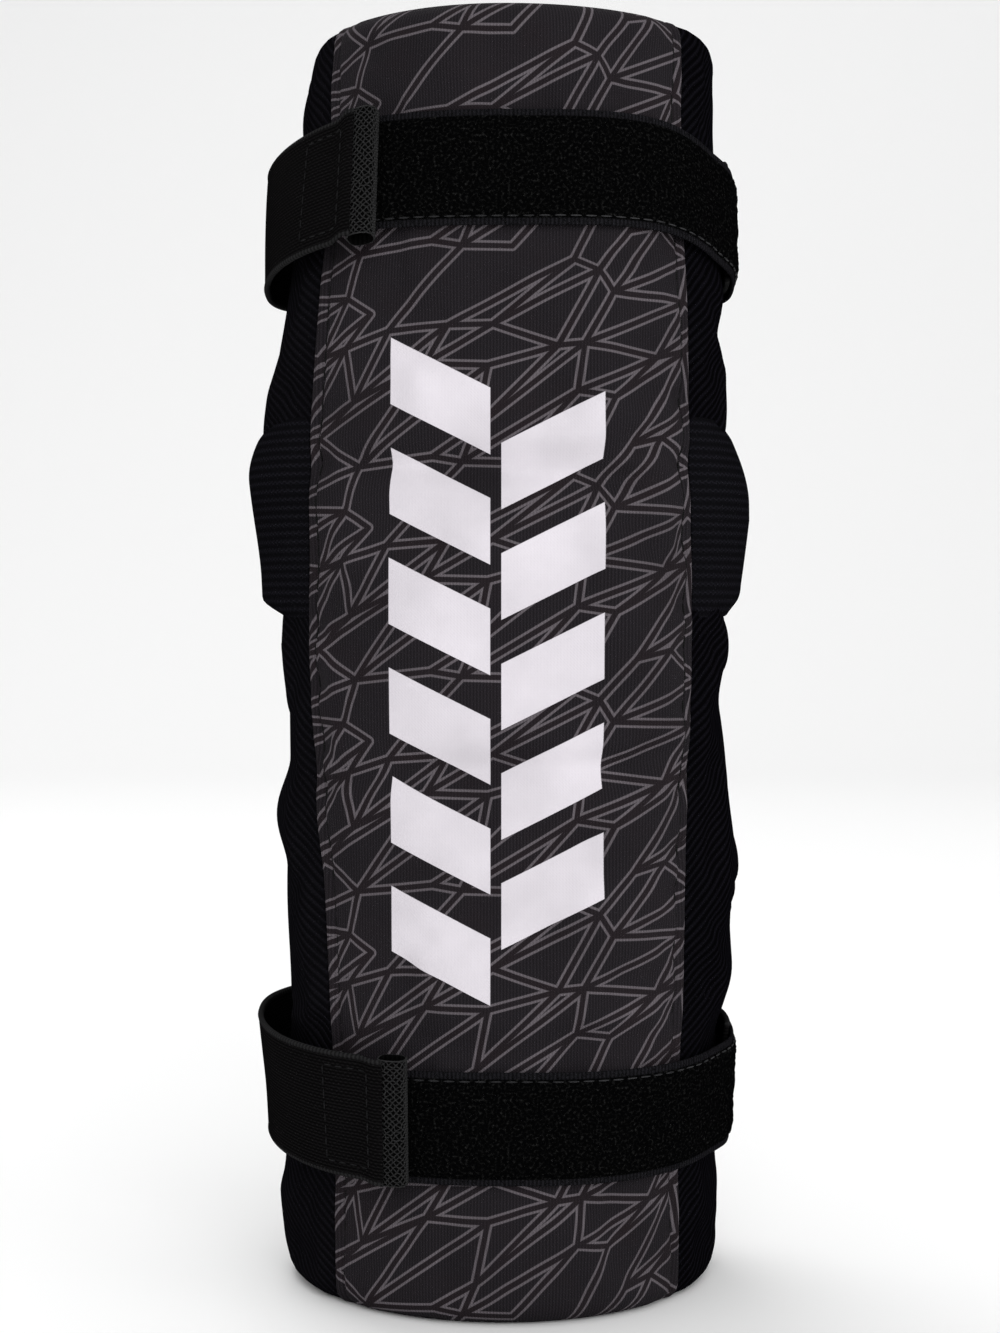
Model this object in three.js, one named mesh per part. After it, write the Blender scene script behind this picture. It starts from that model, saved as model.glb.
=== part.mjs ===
// A lacrosse arm pad: a padded sleeve for the elbow and the arm above and below it.
// A printed, padded front panel runs from end to end. Ribbed mesh panels close the sides, a stretch
// panel closes the back, a padded wing covers each side of the elbow, and a thin lining runs through.
// Two elastic straps go round the back and hook onto soft loop strips sewn across the front.
// Millimetres, +Z up. The front panel faces -Y, and the sleeve stands on its lower rim, at Z = 0.
// "Left" and "right" are as seen from the front, so right is +X. Angles are degrees round the
// sleeve's axis, 0 at the middle of the front and growing towards the right.
import * as THREE from "three";

// The sleeve
const SLEEVE_LENGTH = 290;
const HALF_WIDTH = 52; // from the axis to either side
const FRONT_DEPTH = 50; // from the axis to the front of the panel
const BACK_DEPTH = 40; // from the axis to the back
const FRONT_SQUARENESS = 2.6; // power of the outline's curve: 2 is round, more is squarer
const BACK_SQUARENESS = 2.3;
const PANEL_HALF_WIDTH = 50; // from the middle of the front panel to its edge, measured along the surface

// Walls
const FRONT_FOAM = 12;
const SIDE_FOAM = 8.5;
const BACK_CLOTH = 2.6;
const LINING_CLOTH = 1.2;
const RIM_RADIUS = 4; // of a rim's rounded edges
const RIM_SHARE = 0.46; // the most that this radius takes of a thin wall
const SEAM_DIP = 0.9; // how far a padded panel is pulled in at its seams
const SEAM_REACH = 7; // how far from the seam that shows
const GAP = 0.3; // between pieces that meet edge to edge
const LAID_GAP = 0.5; // under a piece that lies on a curved face
const LINING_GAP = 0.9; // between the lining and the wall round it
const LINING_INSET = 3; // from a rim to the lining's end

// Where the walls change, in degrees
const FRONT_FOAM_ENDS = 28;
const SIDE_FOAM_STARTS = 58;
const SIDE_FOAM_ENDS = 82;
const BACK_SEAM = 105;

// The padded wings at the elbow
const WING_HEIGHT = 45;
const WING_PAD = 5.2;
const WING_END = 112; // degrees
const WING_FRONT_SLOPE = 20; // degrees over which it thins out towards the front panel
const WING_BACK_SLOPE = 14;
const WING_EDGE = 0.12; // thickness left at an edge, as a share of the pad

// Straps
const LOOP_WIDTH = 25;
const LOOP_PILE = 1.6;
const LOOP_START = -45; // degrees
const LOOP_END = 112;
const ELASTIC_WIDTH = 28;
const ELASTIC_CLOTH = 1.3;
const ELASTIC_START = 78; // where it is sewn under the loop strip, in degrees
const HOOK_HEIGHT = 22;
const HOOK_LENGTH = 13;
const HOOK_CLOTH = 1;
const TAB_LENGTH = 6;
const TAB_PAD = 3.6;
const TAB_EYE_LENGTH = 3.2; // the hollow inside the fold
const TAB_EYE = 1;
const UPPER_STRAP_INSET = 36.7; // from the upper rim to the middle of the loop strip
const LOWER_STRAP_INSET = 44.2; // from the lower rim to the middle of the loop strip
const UPPER_STRAP_DROP = 8; // how far the strap has dropped at the back
const LOWER_STRAP_DROP = -4.5; // this one climbs
const UPPER_ELASTIC_OFFSET = 0.5; // from the loop strip's middle up to the elastic's
const LOWER_ELASTIC_OFFSET = 1.8;
const UPPER_STRAP_LEAN = 1.5; // how much further out the upper edge stands than the lower one, on the left
const LOWER_STRAP_LEAN = 3;
const UPPER_TAB_END = 27; // from the middle of the front, along the surface towards the left
const LOWER_TAB_END = 20.4;

// The sleeve's outline: one row for each section. "at" is a share of the length, and the others are
// shares of HALF_WIDTH, FRONT_DEPTH, BACK_DEPTH, FRONT_SQUARENESS and PANEL_HALF_WIDTH.
const SECTIONS = [
  { at: 0, left: 0.96, right: 0.93, front: 0.985, back: 1, power: 0.77, seamLeft: 0.879, seamRight: 0.943 },
  { at: 0.12, left: 0.99, right: 0.968, front: 0.99, back: 1, power: 0.85, seamLeft: 0.861, seamRight: 0.907 },
  { at: 0.3, left: 0.99, right: 0.995, front: 1, back: 0.98, power: 1, seamLeft: 0.877, seamRight: 0.872 },
  { at: 0.5, left: 1, right: 0.99, front: 1, back: 0.95, power: 1, seamLeft: 0.978, seamRight: 0.91 },
  { at: 0.62, left: 1.006, right: 0.985, front: 1, back: 0.95, power: 1, seamLeft: 0.966, seamRight: 0.911 },
  { at: 0.75, left: 1.002, right: 0.982, front: 0.998, back: 0.98, power: 1, seamLeft: 0.929, seamRight: 0.907 },
  { at: 0.87, left: 0.97, right: 0.98, front: 0.992, back: 1, power: 0.86, seamLeft: 0.914, seamRight: 0.913 },
  { at: 1, left: 0.862, right: 0.955, front: 0.985, back: 1, power: 0.77, seamLeft: 0.975, seamRight: 0.932 },
];

// Bulges and creases of the padded face: "at" and "reach" are shares of the length, "angle" and
// "spread" are in degrees, and "rise" is a share of FRONT_FOAM.
const BULGES = [
  { name: "lower left pad", at: 0.38, reach: 0.045, angle: -90, spread: 55, rise: 0.275 },
  { name: "upper left pad", at: 0.69, reach: 0.124, angle: -90, spread: 55, rise: 0.31 },
  { name: "lower right pad", at: 0.303, reach: 0.117, angle: 90, spread: 55, rise: 0.24 },
  { name: "right pad under the wing", at: 0.517, reach: 0.048, angle: 95, spread: 50, rise: 0.18 },
  { name: "elbow cap", at: 0.538, reach: 0.21, angle: 0, spread: 80, rise: 0.18 },
  { name: "crease below the cap", at: 0.422, reach: 0.024, angle: 0, spread: 75, rise: -0.13 },
  { name: "crease above the cap", at: 0.653, reach: 0.024, angle: 0, spread: 75, rise: -0.13 },
];
const WING_AT = 0.615; // the wings' middle, as a share of the length
// Each wing's form: "pad" is a share of WING_PAD and "footPad" what is left of it at the foot. The
// slopes, over which it thins out, are shares of WING_HEIGHT.
const WINGS = [
  { name: "left", side: -1, pad: 0.83, footPad: 1, topSlope: 0.3, footSlope: 0.1 },
  { name: "right", side: 1, pad: 1, footPad: 0.5, topSlope: 0.42, footSlope: 0.14 },
];

// A strap's course round the sleeve: "drop" is a share of the strap's drop, "lift" a share of the
// stack of loop strip and hook patch that its free end lies on, and "lean" a share of the strap's
// lean. Angles run from the right side round the back to the left.
const ELASTIC_COURSE = [
  { angle: 78, drop: 0.56, lift: 0, lean: 0 },
  { angle: 112, drop: 0.8, lift: 0, lean: 0 },
  { angle: 150, drop: 0.93, lift: 0, lean: 0 },
  { angle: 180, drop: 1, lift: 0, lean: 0 },
  { angle: 205, drop: 1, lift: 0.3, lean: 0.1 },
  { angle: 232, drop: 0.96, lift: 0.95, lean: 0.6 },
  { angle: 258, drop: 0.84, lift: 1.15, lean: 1 },
  { angle: 278, drop: 0.62, lift: 1.15, lean: 1 },
  { angle: 300, drop: 0.27, lift: 1.05, lean: 0.5 },
  { angle: 315, drop: 0.08, lift: 1, lean: 0.1 },
  { angle: 330, drop: 0, lift: 1, lean: 0 },
  { angle: 345, drop: 0, lift: 1, lean: 0 },
];
// The loop strip lies flat, and climbs over the elastic's sewn end at its right end.
const LOOP_COURSE = [
  { angle: -50, drop: 0, climb: 0 },
  { angle: 0, drop: 0, climb: 0 },
  { angle: 42, drop: 0, climb: 0 },
  { angle: 62, drop: 0.3, climb: 0 },
  { angle: 74, drop: 0.5, climb: 1 },
  { angle: 90, drop: 0.68, climb: 1 },
  { angle: 112, drop: 0.8, climb: 1 },
];

// How finely each piece is faceted
const PADDED_STEP = 9.5; // the tallest facet of a padded panel
const BACK_STEP = 18;
const LINING_STEP = 40;
const FRONT_COLUMNS = 13;
const SIDE_COLUMNS = 8;
const WING_COLUMNS = 9;
const BACK_COLUMNS = 17;
const LINING_COLUMNS = 36;
const WING_ROWS = { foot: 3, body: 3, top: 4 };
const RIM_STEPS = [0, 0.1, 0.35, 1]; // shares of a rim's rounding
const CREASE_STEPS = [-1, -0.5, 0, 0.5, 1]; // shares of a crease's reach
const STRAP_STEP = 8; // degrees
const STRAP_ROWS = [-0.5, -0.17, 0.17, 0.5]; // shares of a strap's width
const PLAIN_ROWS = [-0.5, 0.5];
const FOLD_CORNERS = 16;
const FOLD_SQUARENESS = 3;
const TURN_STEP = 1; // degrees, for walking along an outline

const radians = THREE.MathUtils.degToRad;
const ease = THREE.MathUtils.smoothstep;
const mix = THREE.MathUtils.lerp;

// A smooth table: gives every named column at a place between the rows.
function smoothTable(rows, key) {
  const columns = Object.keys(rows[0]).filter((name) => name !== key);
  const places = rows.map((row) => row[key]);
  const values = rows.flatMap((row) => columns.map((name) => row[name]));
  const curve = new THREE.CubicInterpolant(places, values, columns.length);
  return (place) => {
    const found = curve.evaluate(THREE.MathUtils.clamp(place, places[0], places[places.length - 1]));
    return Object.fromEntries(columns.map((name, index) => [name, found[index]]));
  };
}

const sectionShares = smoothTable(SECTIONS, "at");

function sectionAt(height) {
  const share = sectionShares(height / SLEEVE_LENGTH);
  return {
    left: share.left * HALF_WIDTH,
    right: share.right * HALF_WIDTH,
    front: share.front * FRONT_DEPTH,
    back: share.back * BACK_DEPTH,
    frontPower: share.power * FRONT_SQUARENESS,
    seamLeft: share.seamLeft * PANEL_HALF_WIDTH,
    seamRight: share.seamRight * PANEL_HALF_WIDTH,
  };
}

// A point of a section's outline, seen from above.
function outlinePoint(section, angle) {
  const across = Math.sin(radians(angle));
  const ahead = Math.cos(radians(angle));
  const side = across < 0 ? section.left : section.right;
  const depth = ahead > 0 ? section.front : section.back;
  const power = ahead > 0 ? section.frontPower : BACK_SQUARENESS;
  const reach = (Math.abs(across / side) ** power + Math.abs(ahead / depth) ** power) ** (-1 / power);
  return new THREE.Vector2(across * reach, -ahead * reach);
}

// The angle at which a walk along a section's outline, from the middle of the front, has come this far.
function angleAlong(section, length, side) {
  let angle = 0;
  let walked = 0;
  let here = outlinePoint(section, 0);
  while (angle < 180) {
    const next = outlinePoint(section, side * (angle + TURN_STEP));
    const pace = next.distanceTo(here);
    if (walked + pace >= length) return side * (angle + (TURN_STEP * (length - walked)) / pace);
    angle += TURN_STEP;
    walked += pace;
    here = next;
  }
  return side * 180;
}

// A point of the sleeve's surface, moved out by standOff along the outline's normal.
function surfacePoint(angle, height, standOff) {
  const section = sectionAt(height);
  const here = outlinePoint(section, angle);
  const ahead = outlinePoint(section, angle + TURN_STEP / 2);
  const along = ahead.sub(outlinePoint(section, angle - TURN_STEP / 2)).normalize();
  return new THREE.Vector3(here.x + along.y * standOff, here.y - along.x * standOff, height);
}

// A smooth hump, 1 at its middle and 0 from its reach on.
function hump(distance, reach) {
  const share = Math.min(Math.abs(distance / reach), 1);
  return (1 - share * share) ** 2;
}

// How far the padded face stands out of the plain outline.
function bulgeAt(angle, height) {
  let out = 0;
  for (const bulge of BULGES) {
    const turned = THREE.MathUtils.euclideanModulo(angle - bulge.angle + 180, 360) - 180;
    const lengthwise = hump(height - bulge.at * SLEEVE_LENGTH, bulge.reach * SLEEVE_LENGTH);
    out += bulge.rise * FRONT_FOAM * lengthwise * hump(turned, bulge.spread);
  }
  return out;
}

// The sleeve wall's thickness: thick foam in front, thinner at the sides, cloth at the back.
function wallAt(angle) {
  const turned = Math.abs(THREE.MathUtils.euclideanModulo(angle + 180, 360) - 180);
  const padded = mix(FRONT_FOAM, SIDE_FOAM, ease(turned, FRONT_FOAM_ENDS, SIDE_FOAM_STARTS));
  return mix(padded, BACK_CLOTH, ease(turned, SIDE_FOAM_ENDS, BACK_SEAM));
}

function rimRadius(wall) {
  return Math.min(RIM_RADIUS, RIM_SHARE * wall);
}

// How far a rounded rim has drawn in at this height, for a wall of this thickness.
function rimInset(height, wall) {
  const radius = rimRadius(wall);
  const fromRim = Math.min(height, SLEEVE_LENGTH - height, radius);
  return radius - Math.sqrt(Math.max(0, radius ** 2 - (radius - fromRim) ** 2));
}

// A closed solid between an outer and an inner face, each a function of a stop across and a stop up.
// With ring set, the last stop across joins the first.
function solidBetween({ across, up, outer, inner, ring = false }) {
  const positions = [];
  const indices = [];
  const columns = across.length;
  const rows = up.length;
  for (const face of [outer, inner]) {
    for (const v of up) {
      for (const u of across) positions.push(...face(u, v).toArray());
    }
  }
  const vertex = (layer, row, column) => (layer * rows + row) * columns + (column % columns);
  const quad = (a, b, c, d) => indices.push(a, b, c, a, c, d);
  const spans = ring ? columns : columns - 1;
  for (let row = 0; row < rows - 1; row += 1) {
    for (let column = 0; column < spans; column += 1) {
      const corners = [
        [row, column],
        [row, column + 1],
        [row + 1, column + 1],
        [row + 1, column],
      ];
      quad(...corners.map(([r, c]) => vertex(0, r, c)));
      quad(...corners.map(([r, c]) => vertex(1, r, c)).reverse());
    }
  }
  const top = rows - 1;
  for (let column = 0; column < spans; column += 1) {
    const next = column + 1;
    quad(vertex(1, 0, column), vertex(1, 0, next), vertex(0, 0, next), vertex(0, 0, column));
    quad(vertex(0, top, column), vertex(0, top, next), vertex(1, top, next), vertex(1, top, column));
  }
  const last = columns - 1;
  for (let row = 0; !ring && row < top; row += 1) {
    const next = row + 1;
    quad(vertex(1, row, 0), vertex(0, row, 0), vertex(0, next, 0), vertex(1, next, 0));
    quad(vertex(0, row, last), vertex(1, row, last), vertex(1, next, last), vertex(0, next, last));
  }
  const geometry = new THREE.BufferGeometry();
  geometry.setAttribute("position", new THREE.Float32BufferAttribute(positions, 3));
  geometry.setIndex(indices);
  geometry.computeVertexNormals();
  return geometry;
}

// Evenly spaced stops from one value to another, both included.
function evenly(from, to, spans) {
  return Array.from({ length: spans + 1 }, (_, index) => mix(from, to, index / spans));
}

function spansFor(length, step) {
  return Math.max(1, Math.ceil(length / step));
}

// Heights of a panel's facets: close together on the rounded rims and through the creases.
function panelLevels(wall, step, creases = []) {
  const rim = RIM_STEPS.map((share) => share * rimRadius(wall));
  const start = rim[rim.length - 1];
  const stops = [start, SLEEVE_LENGTH - start];
  for (const crease of creases) {
    for (const share of CREASE_STEPS) stops.push((crease.at + share * crease.reach) * SLEEVE_LENGTH);
  }
  stops.sort((a, b) => a - b);
  const between = stops.slice(1).flatMap((stop, index) => {
    const spans = spansFor(stop - stops[index], step);
    return evenly(stops[index], stop, spans).slice(1);
  });
  return [...rim, ...between.slice(0, -1), ...rim.map((height) => SLEEVE_LENGTH - height).reverse()];
}

// The angle that a length along the sleeve's surface spans.
function spanOf(length, angle, height) {
  return THREE.MathUtils.radToDeg(length / surfacePoint(angle, height, 0).setZ(0).length());
}

// The front panel's edge at this height, in degrees. side is -1 for the left and 1 for the right.
const knownEdges = new Map();
function panelEdge(height, side) {
  const key = `${side} ${height}`;
  if (!knownEdges.has(key)) {
    const section = sectionAt(height);
    const length = side < 0 ? section.seamLeft : section.seamRight;
    knownEdges.set(key, angleAlong(section, length, side));
  }
  return knownEdges.get(key);
}

// A padded panel between two edges, each an angle that is a function of the height. It is drawn in
// at its seams.
function paddedPanel({ from, to, columns, levels }) {
  const angleAt = (u, height) => mix(from(height), to(height), u);
  const seamDip = (u, height) => {
    const reach = surfacePoint(angleAt(0.5, height), height, 0).setZ(0).length();
    const width = radians(to(height) - from(height)) * reach;
    return SEAM_DIP * hump(Math.min(u, 1 - u) * width, SEAM_REACH);
  };
  return solidBetween({
    across: evenly(0, 1, columns),
    up: levels,
    outer: (u, height) => {
      const angle = angleAt(u, height);
      const out = bulgeAt(angle, height) - seamDip(u, height);
      return surfacePoint(angle, height, out - rimInset(height, wallAt(angle)));
    },
    inner: (u, height) => {
      const angle = angleAt(u, height);
      return surfacePoint(angle, height, rimInset(height, wallAt(angle)) - wallAt(angle));
    },
  });
}

function frontPanel() {
  return paddedPanel({
    from: (height) => panelEdge(height, -1),
    to: (height) => panelEdge(height, 1),
    columns: FRONT_COLUMNS,
    levels: panelLevels(FRONT_FOAM, PADDED_STEP, BULGES.filter((row) => row.rise < 0)),
  });
}

// A side panel runs from the front panel's edge to the back seam.
function sidePanel(side) {
  const frontEdge = (height) => {
    const edge = panelEdge(height, side);
    return edge + side * spanOf(GAP, edge, height);
  };
  const backEdge = (height) => side * (BACK_SEAM - spanOf(GAP, BACK_SEAM, height));
  return paddedPanel({
    from: side < 0 ? backEdge : frontEdge,
    to: side < 0 ? frontEdge : backEdge,
    columns: SIDE_COLUMNS,
    levels: panelLevels(SIDE_FOAM, PADDED_STEP),
  });
}

// The back panel follows the side panels' bulges, so that it meets them all the way.
function backPanel() {
  const outer = (angle, height) => bulgeAt(angle, height) - rimInset(height, wallAt(angle));
  const inner = (angle, height) => bulgeAt(angle, height) + rimInset(height, wallAt(angle)) - wallAt(angle);
  return solidBetween({
    across: evenly(BACK_SEAM, 360 - BACK_SEAM, BACK_COLUMNS),
    up: panelLevels(BACK_CLOTH, BACK_STEP),
    outer: (angle, height) => surfacePoint(angle, height, outer(angle, height)),
    inner: (angle, height) => surfacePoint(angle, height, inner(angle, height)),
  });
}

function sleeveLining() {
  const outer = (angle) => -wallAt(angle) - LINING_GAP;
  return solidBetween({
    across: evenly(0, 360, LINING_COLUMNS).slice(0, -1),
    up: evenly(LINING_INSET, SLEEVE_LENGTH - LINING_INSET, spansFor(SLEEVE_LENGTH, LINING_STEP)),
    outer: (angle, height) => surfacePoint(angle, height, outer(angle)),
    inner: (angle, height) => surfacePoint(angle, height, outer(angle) - LINING_CLOTH),
    ring: true,
  });
}

// A wing over one side of the elbow. It thins out at its edges, and its foot is the steepest. From the
// foot up, the pad has its full thickness at half of the wing's height.
function elbowWing({ side, pad, footPad, topSlope, footSlope }) {
  const foot = WING_AT * SLEEVE_LENGTH - WING_HEIGHT / 2;
  const frontEdge = (height) => {
    const seam = Math.abs(panelEdge(height, side));
    return seam + spanOf(GAP, seam, height);
  };
  const padAt = (turned, up) => {
    const upwards = Math.min(up / footSlope, (1 - up) / topSlope, 1);
    const around = Math.min(
      (turned - frontEdge(foot + up * WING_HEIGHT)) / WING_FRONT_SLOPE,
      (WING_END - turned) / WING_BACK_SLOPE,
      1,
    );
    const fullness = Math.sin((upwards * Math.PI) / 2) * Math.sin((around * Math.PI) / 2);
    return WING_PAD * pad * mix(footPad, 1, Math.min(2 * up, 1)) * mix(WING_EDGE, 1, fullness);
  };
  const place = (u, up, above) => {
    const height = foot + up * WING_HEIGHT;
    const turned = mix(frontEdge(height), WING_END, side < 0 ? 1 - u : u);
    const out = bulgeAt(side * turned, height) + LAID_GAP + above(turned, up);
    return surfacePoint(side * turned, height, out);
  };
  return solidBetween({
    across: evenly(0, 1, WING_COLUMNS),
    up: [
      ...evenly(0, footSlope, WING_ROWS.foot),
      ...evenly(footSlope, 1 - topSlope, WING_ROWS.body).slice(1, -1),
      ...evenly(1 - topSlope, 1, WING_ROWS.top),
    ],
    outer: (u, up) => place(u, up, padAt),
    inner: (u, up) => place(u, up, () => 0),
  });
}

// Both straps share the courses above.
const STRAPS = {
  upper: {
    height: SLEEVE_LENGTH - UPPER_STRAP_INSET,
    offset: UPPER_ELASTIC_OFFSET,
    drop: UPPER_STRAP_DROP,
    lean: UPPER_STRAP_LEAN,
    tabEnd: UPPER_TAB_END,
  },
  lower: {
    height: LOWER_STRAP_INSET,
    offset: LOWER_ELASTIC_OFFSET,
    drop: LOWER_STRAP_DROP,
    lean: LOWER_STRAP_LEAN,
    tabEnd: LOWER_TAB_END,
  },
};
const ON_LOOP = LAID_GAP + LOOP_PILE + GAP; // from the sleeve to what lies on the loop strip
const ON_HOOK = ON_LOOP + HOOK_CLOTH + GAP;
const elasticCourse = smoothTable(ELASTIC_COURSE, "angle");
const loopCourse = smoothTable(LOOP_COURSE, "angle");

// A point of a strap's band, v across its width, standing off the padded face.
function bandPoint(angle, v, width, middle, standOff) {
  const height = middle + v * width;
  return surfacePoint(angle, height, bulgeAt(angle, height) + standOff);
}

function elasticPoint(strap, angle, v, width, above) {
  const course = elasticCourse(angle);
  const middle = strap.height + strap.offset - strap.drop * course.drop;
  const lift = LAID_GAP + Math.max(0, course.lift) * (ON_HOOK - LAID_GAP);
  const lean = (Math.max(0, course.lean) * strap.lean * v * width) / ELASTIC_WIDTH;
  return bandPoint(angle, v, width, middle, lift + lean + above);
}

function loopStrip(strap) {
  const point = (angle, v, above) => {
    const course = loopCourse(angle);
    const climb = THREE.MathUtils.clamp(course.climb, 0, 1) * (ELASTIC_CLOTH + GAP);
    const standOff = LAID_GAP + climb + above;
    return bandPoint(angle, v, LOOP_WIDTH, strap.height - strap.drop * course.drop, standOff);
  };
  return solidBetween({
    across: evenly(LOOP_START, LOOP_END, spansFor(LOOP_END - LOOP_START, STRAP_STEP)),
    up: STRAP_ROWS,
    outer: (angle, v) => point(angle, v, LOOP_PILE),
    inner: (angle, v) => point(angle, v, 0),
  });
}

// Where the folded tab begins, as an angle of the elastic's course.
function tabStart(strap) {
  return 360 + angleAlong(sectionAt(strap.height), strap.tabEnd + TAB_LENGTH, -1);
}

// The strap's free end stops just before the tab.
function elasticEnd(strap) {
  return tabStart(strap) - spanOf(GAP, tabStart(strap), strap.height);
}

function elasticStrap(strap) {
  const end = elasticEnd(strap);
  return solidBetween({
    across: evenly(ELASTIC_START, end, spansFor(end - ELASTIC_START, STRAP_STEP)),
    up: STRAP_ROWS,
    outer: (angle, v) => elasticPoint(strap, angle, v, ELASTIC_WIDTH, ELASTIC_CLOTH),
    inner: (angle, v) => elasticPoint(strap, angle, v, ELASTIC_WIDTH, 0),
  });
}

function hookPatch(strap) {
  const end = elasticEnd(strap);
  const start = end - spanOf(HOOK_LENGTH, end, strap.height);
  return solidBetween({
    across: evenly(start, end, spansFor(end - start, STRAP_STEP)),
    up: PLAIN_ROWS,
    outer: (angle, v) => elasticPoint(strap, angle, v, HOOK_HEIGHT, -GAP),
    inner: (angle, v) => elasticPoint(strap, angle, v, HOOK_HEIGHT, -GAP - HOOK_CLOTH),
  });
}

// The pull tab: open-mesh tape folded round on itself, with the fold towards the middle of the front.
function pullTab(strap) {
  const foldPoint = (corner, v, halfLength, halfPad, middle) => {
    const turn = (-2 * Math.PI * corner) / FOLD_CORNERS;
    const sum = Math.abs(Math.cos(turn)) ** FOLD_SQUARENESS + Math.abs(Math.sin(turn)) ** FOLD_SQUARENESS;
    const round = sum ** (-1 / FOLD_SQUARENESS);
    const along = middle + halfLength * Math.cos(turn) * round;
    const angle = tabStart(strap) + spanOf(along, tabStart(strap), strap.height);
    const above = TAB_PAD / 2 + halfPad * Math.sin(turn) * round;
    return elasticPoint(strap, angle, v, ELASTIC_WIDTH, ON_LOOP - ON_HOOK + above);
  };
  const cloth = (TAB_PAD - TAB_EYE) / 2;
  const eyeMiddle = TAB_LENGTH - cloth - TAB_EYE_LENGTH / 2;
  return solidBetween({
    across: evenly(0, FOLD_CORNERS, FOLD_CORNERS).slice(0, -1),
    up: STRAP_ROWS,
    outer: (corner, v) => foldPoint(corner, v, TAB_LENGTH / 2, TAB_PAD / 2, TAB_LENGTH / 2),
    inner: (corner, v) => foldPoint(corner, v, TAB_EYE_LENGTH / 2, TAB_EYE / 2, eyeMiddle),
    ring: true,
  });
}

const CLOTHS = {
  printed: { color: 0x252326, roughness: 0.85, metalness: 0 },
  mesh: { color: 0x131317, roughness: 0.9, metalness: 0 },
  stretch: { color: 0x101013, roughness: 0.8, metalness: 0 },
  lining: { color: 0x17171a, roughness: 0.9, metalness: 0 },
  pile: { color: 0x070708, roughness: 1, metalness: 0 },
  elastic: { color: 0x111112, roughness: 0.8, metalness: 0 },
  hook: { color: 0x0c0c0e, roughness: 0.6, metalness: 0 },
  tape: { color: 0x1b1b1d, roughness: 0.85, metalness: 0 },
};

const armPad = new THREE.Group();
armPad.name = "arm_pad";

function add(name, geometry, cloth) {
  const piece = new THREE.Mesh(geometry, new THREE.MeshStandardMaterial(CLOTHS[cloth]));
  piece.name = name;
  armPad.add(piece);
}

add("front_panel", frontPanel(), "printed");
add("side_panel_left", sidePanel(-1), "mesh");
add("side_panel_right", sidePanel(1), "mesh");
add("back_panel", backPanel(), "stretch");
add("sleeve_lining", sleeveLining(), "lining");
for (const wing of WINGS) add(`elbow_wing_${wing.name}`, elbowWing(wing), "mesh");
for (const [name, strap] of Object.entries(STRAPS)) {
  add(`${name}_loop_strip`, loopStrip(strap), "pile");
  add(`${name}_elastic_strap`, elasticStrap(strap), "elastic");
  add(`${name}_hook_patch`, hookPatch(strap), "hook");
  add(`${name}_pull_tab`, pullTab(strap), "tape");
}

// The origin is at the middle of the pad's width and depth, on the surface that it stands on.
const bounds = new THREE.Box3().setFromObject(armPad, true);
const middle = bounds.getCenter(new THREE.Vector3());
armPad.position.set(-middle.x, -middle.y, -bounds.min.z);
armPad.updateMatrixWorld(true);

export default armPad;
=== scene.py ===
"""A lacrosse arm pad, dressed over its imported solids.

The classes keep their sizes in millimetres, as on a pattern sheet, and MM turns them into metres where
a mesh is placed. Angles are degrees round the sleeve's axis: 0 is the middle of the front, and they
grow towards the right as seen from the front. "Out" is how far a point stands off the sleeve's outline.
"""
import enum
import logging
import math
import random
from collections.abc import Sequence
from dataclasses import dataclass, field, replace

import bmesh
import bpy
import numpy as np
from mathutils import Matrix, Vector


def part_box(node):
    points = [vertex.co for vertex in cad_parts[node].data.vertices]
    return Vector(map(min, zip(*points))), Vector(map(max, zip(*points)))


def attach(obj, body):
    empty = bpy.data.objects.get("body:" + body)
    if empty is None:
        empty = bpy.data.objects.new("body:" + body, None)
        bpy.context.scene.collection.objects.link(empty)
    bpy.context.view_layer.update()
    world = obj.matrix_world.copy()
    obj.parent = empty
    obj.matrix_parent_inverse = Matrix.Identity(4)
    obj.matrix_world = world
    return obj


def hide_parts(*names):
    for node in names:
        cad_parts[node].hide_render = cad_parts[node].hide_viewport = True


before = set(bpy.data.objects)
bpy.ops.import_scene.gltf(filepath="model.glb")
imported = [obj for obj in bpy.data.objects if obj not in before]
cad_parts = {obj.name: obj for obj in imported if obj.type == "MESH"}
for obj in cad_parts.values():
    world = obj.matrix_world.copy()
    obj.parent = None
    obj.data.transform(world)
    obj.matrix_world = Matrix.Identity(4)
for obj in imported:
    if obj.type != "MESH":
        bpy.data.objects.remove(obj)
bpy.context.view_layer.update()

LOG = logging.getLogger("arm_pad")
MM = 0.001
BODY = "root"
CLOTH_MAP = "cloth"
CLOTH_SUFFIX = "_cloth"

WELD = 1e-6
HALF_TURN = 180
FULL_TURN = 360
THREAD_FACETS = 6
# Stops on a rounded edge, as shares of its radius
ROUND_STEPS = (0, 0.04, 0.15, 0.34, 0.62, 1)

Array = np.ndarray
Colour = tuple[float, float, float]


class Side(enum.IntEnum):
    """A side of the pad, as seen from the front."""

    LEFT = -1
    RIGHT = 1


class Slot(enum.StrEnum):
    """The record's material slots."""

    PRINTED = "printed_cloth"
    MESH = "ribbed_mesh"
    STRETCH = "stretch_cloth"
    LINING = "lining_cloth"
    PILE = "loop_pile"
    ELASTIC = "elastic"
    HOOK = "hook_tape"
    TAPE = "tab_tape"


# The sleeve's form


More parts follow.
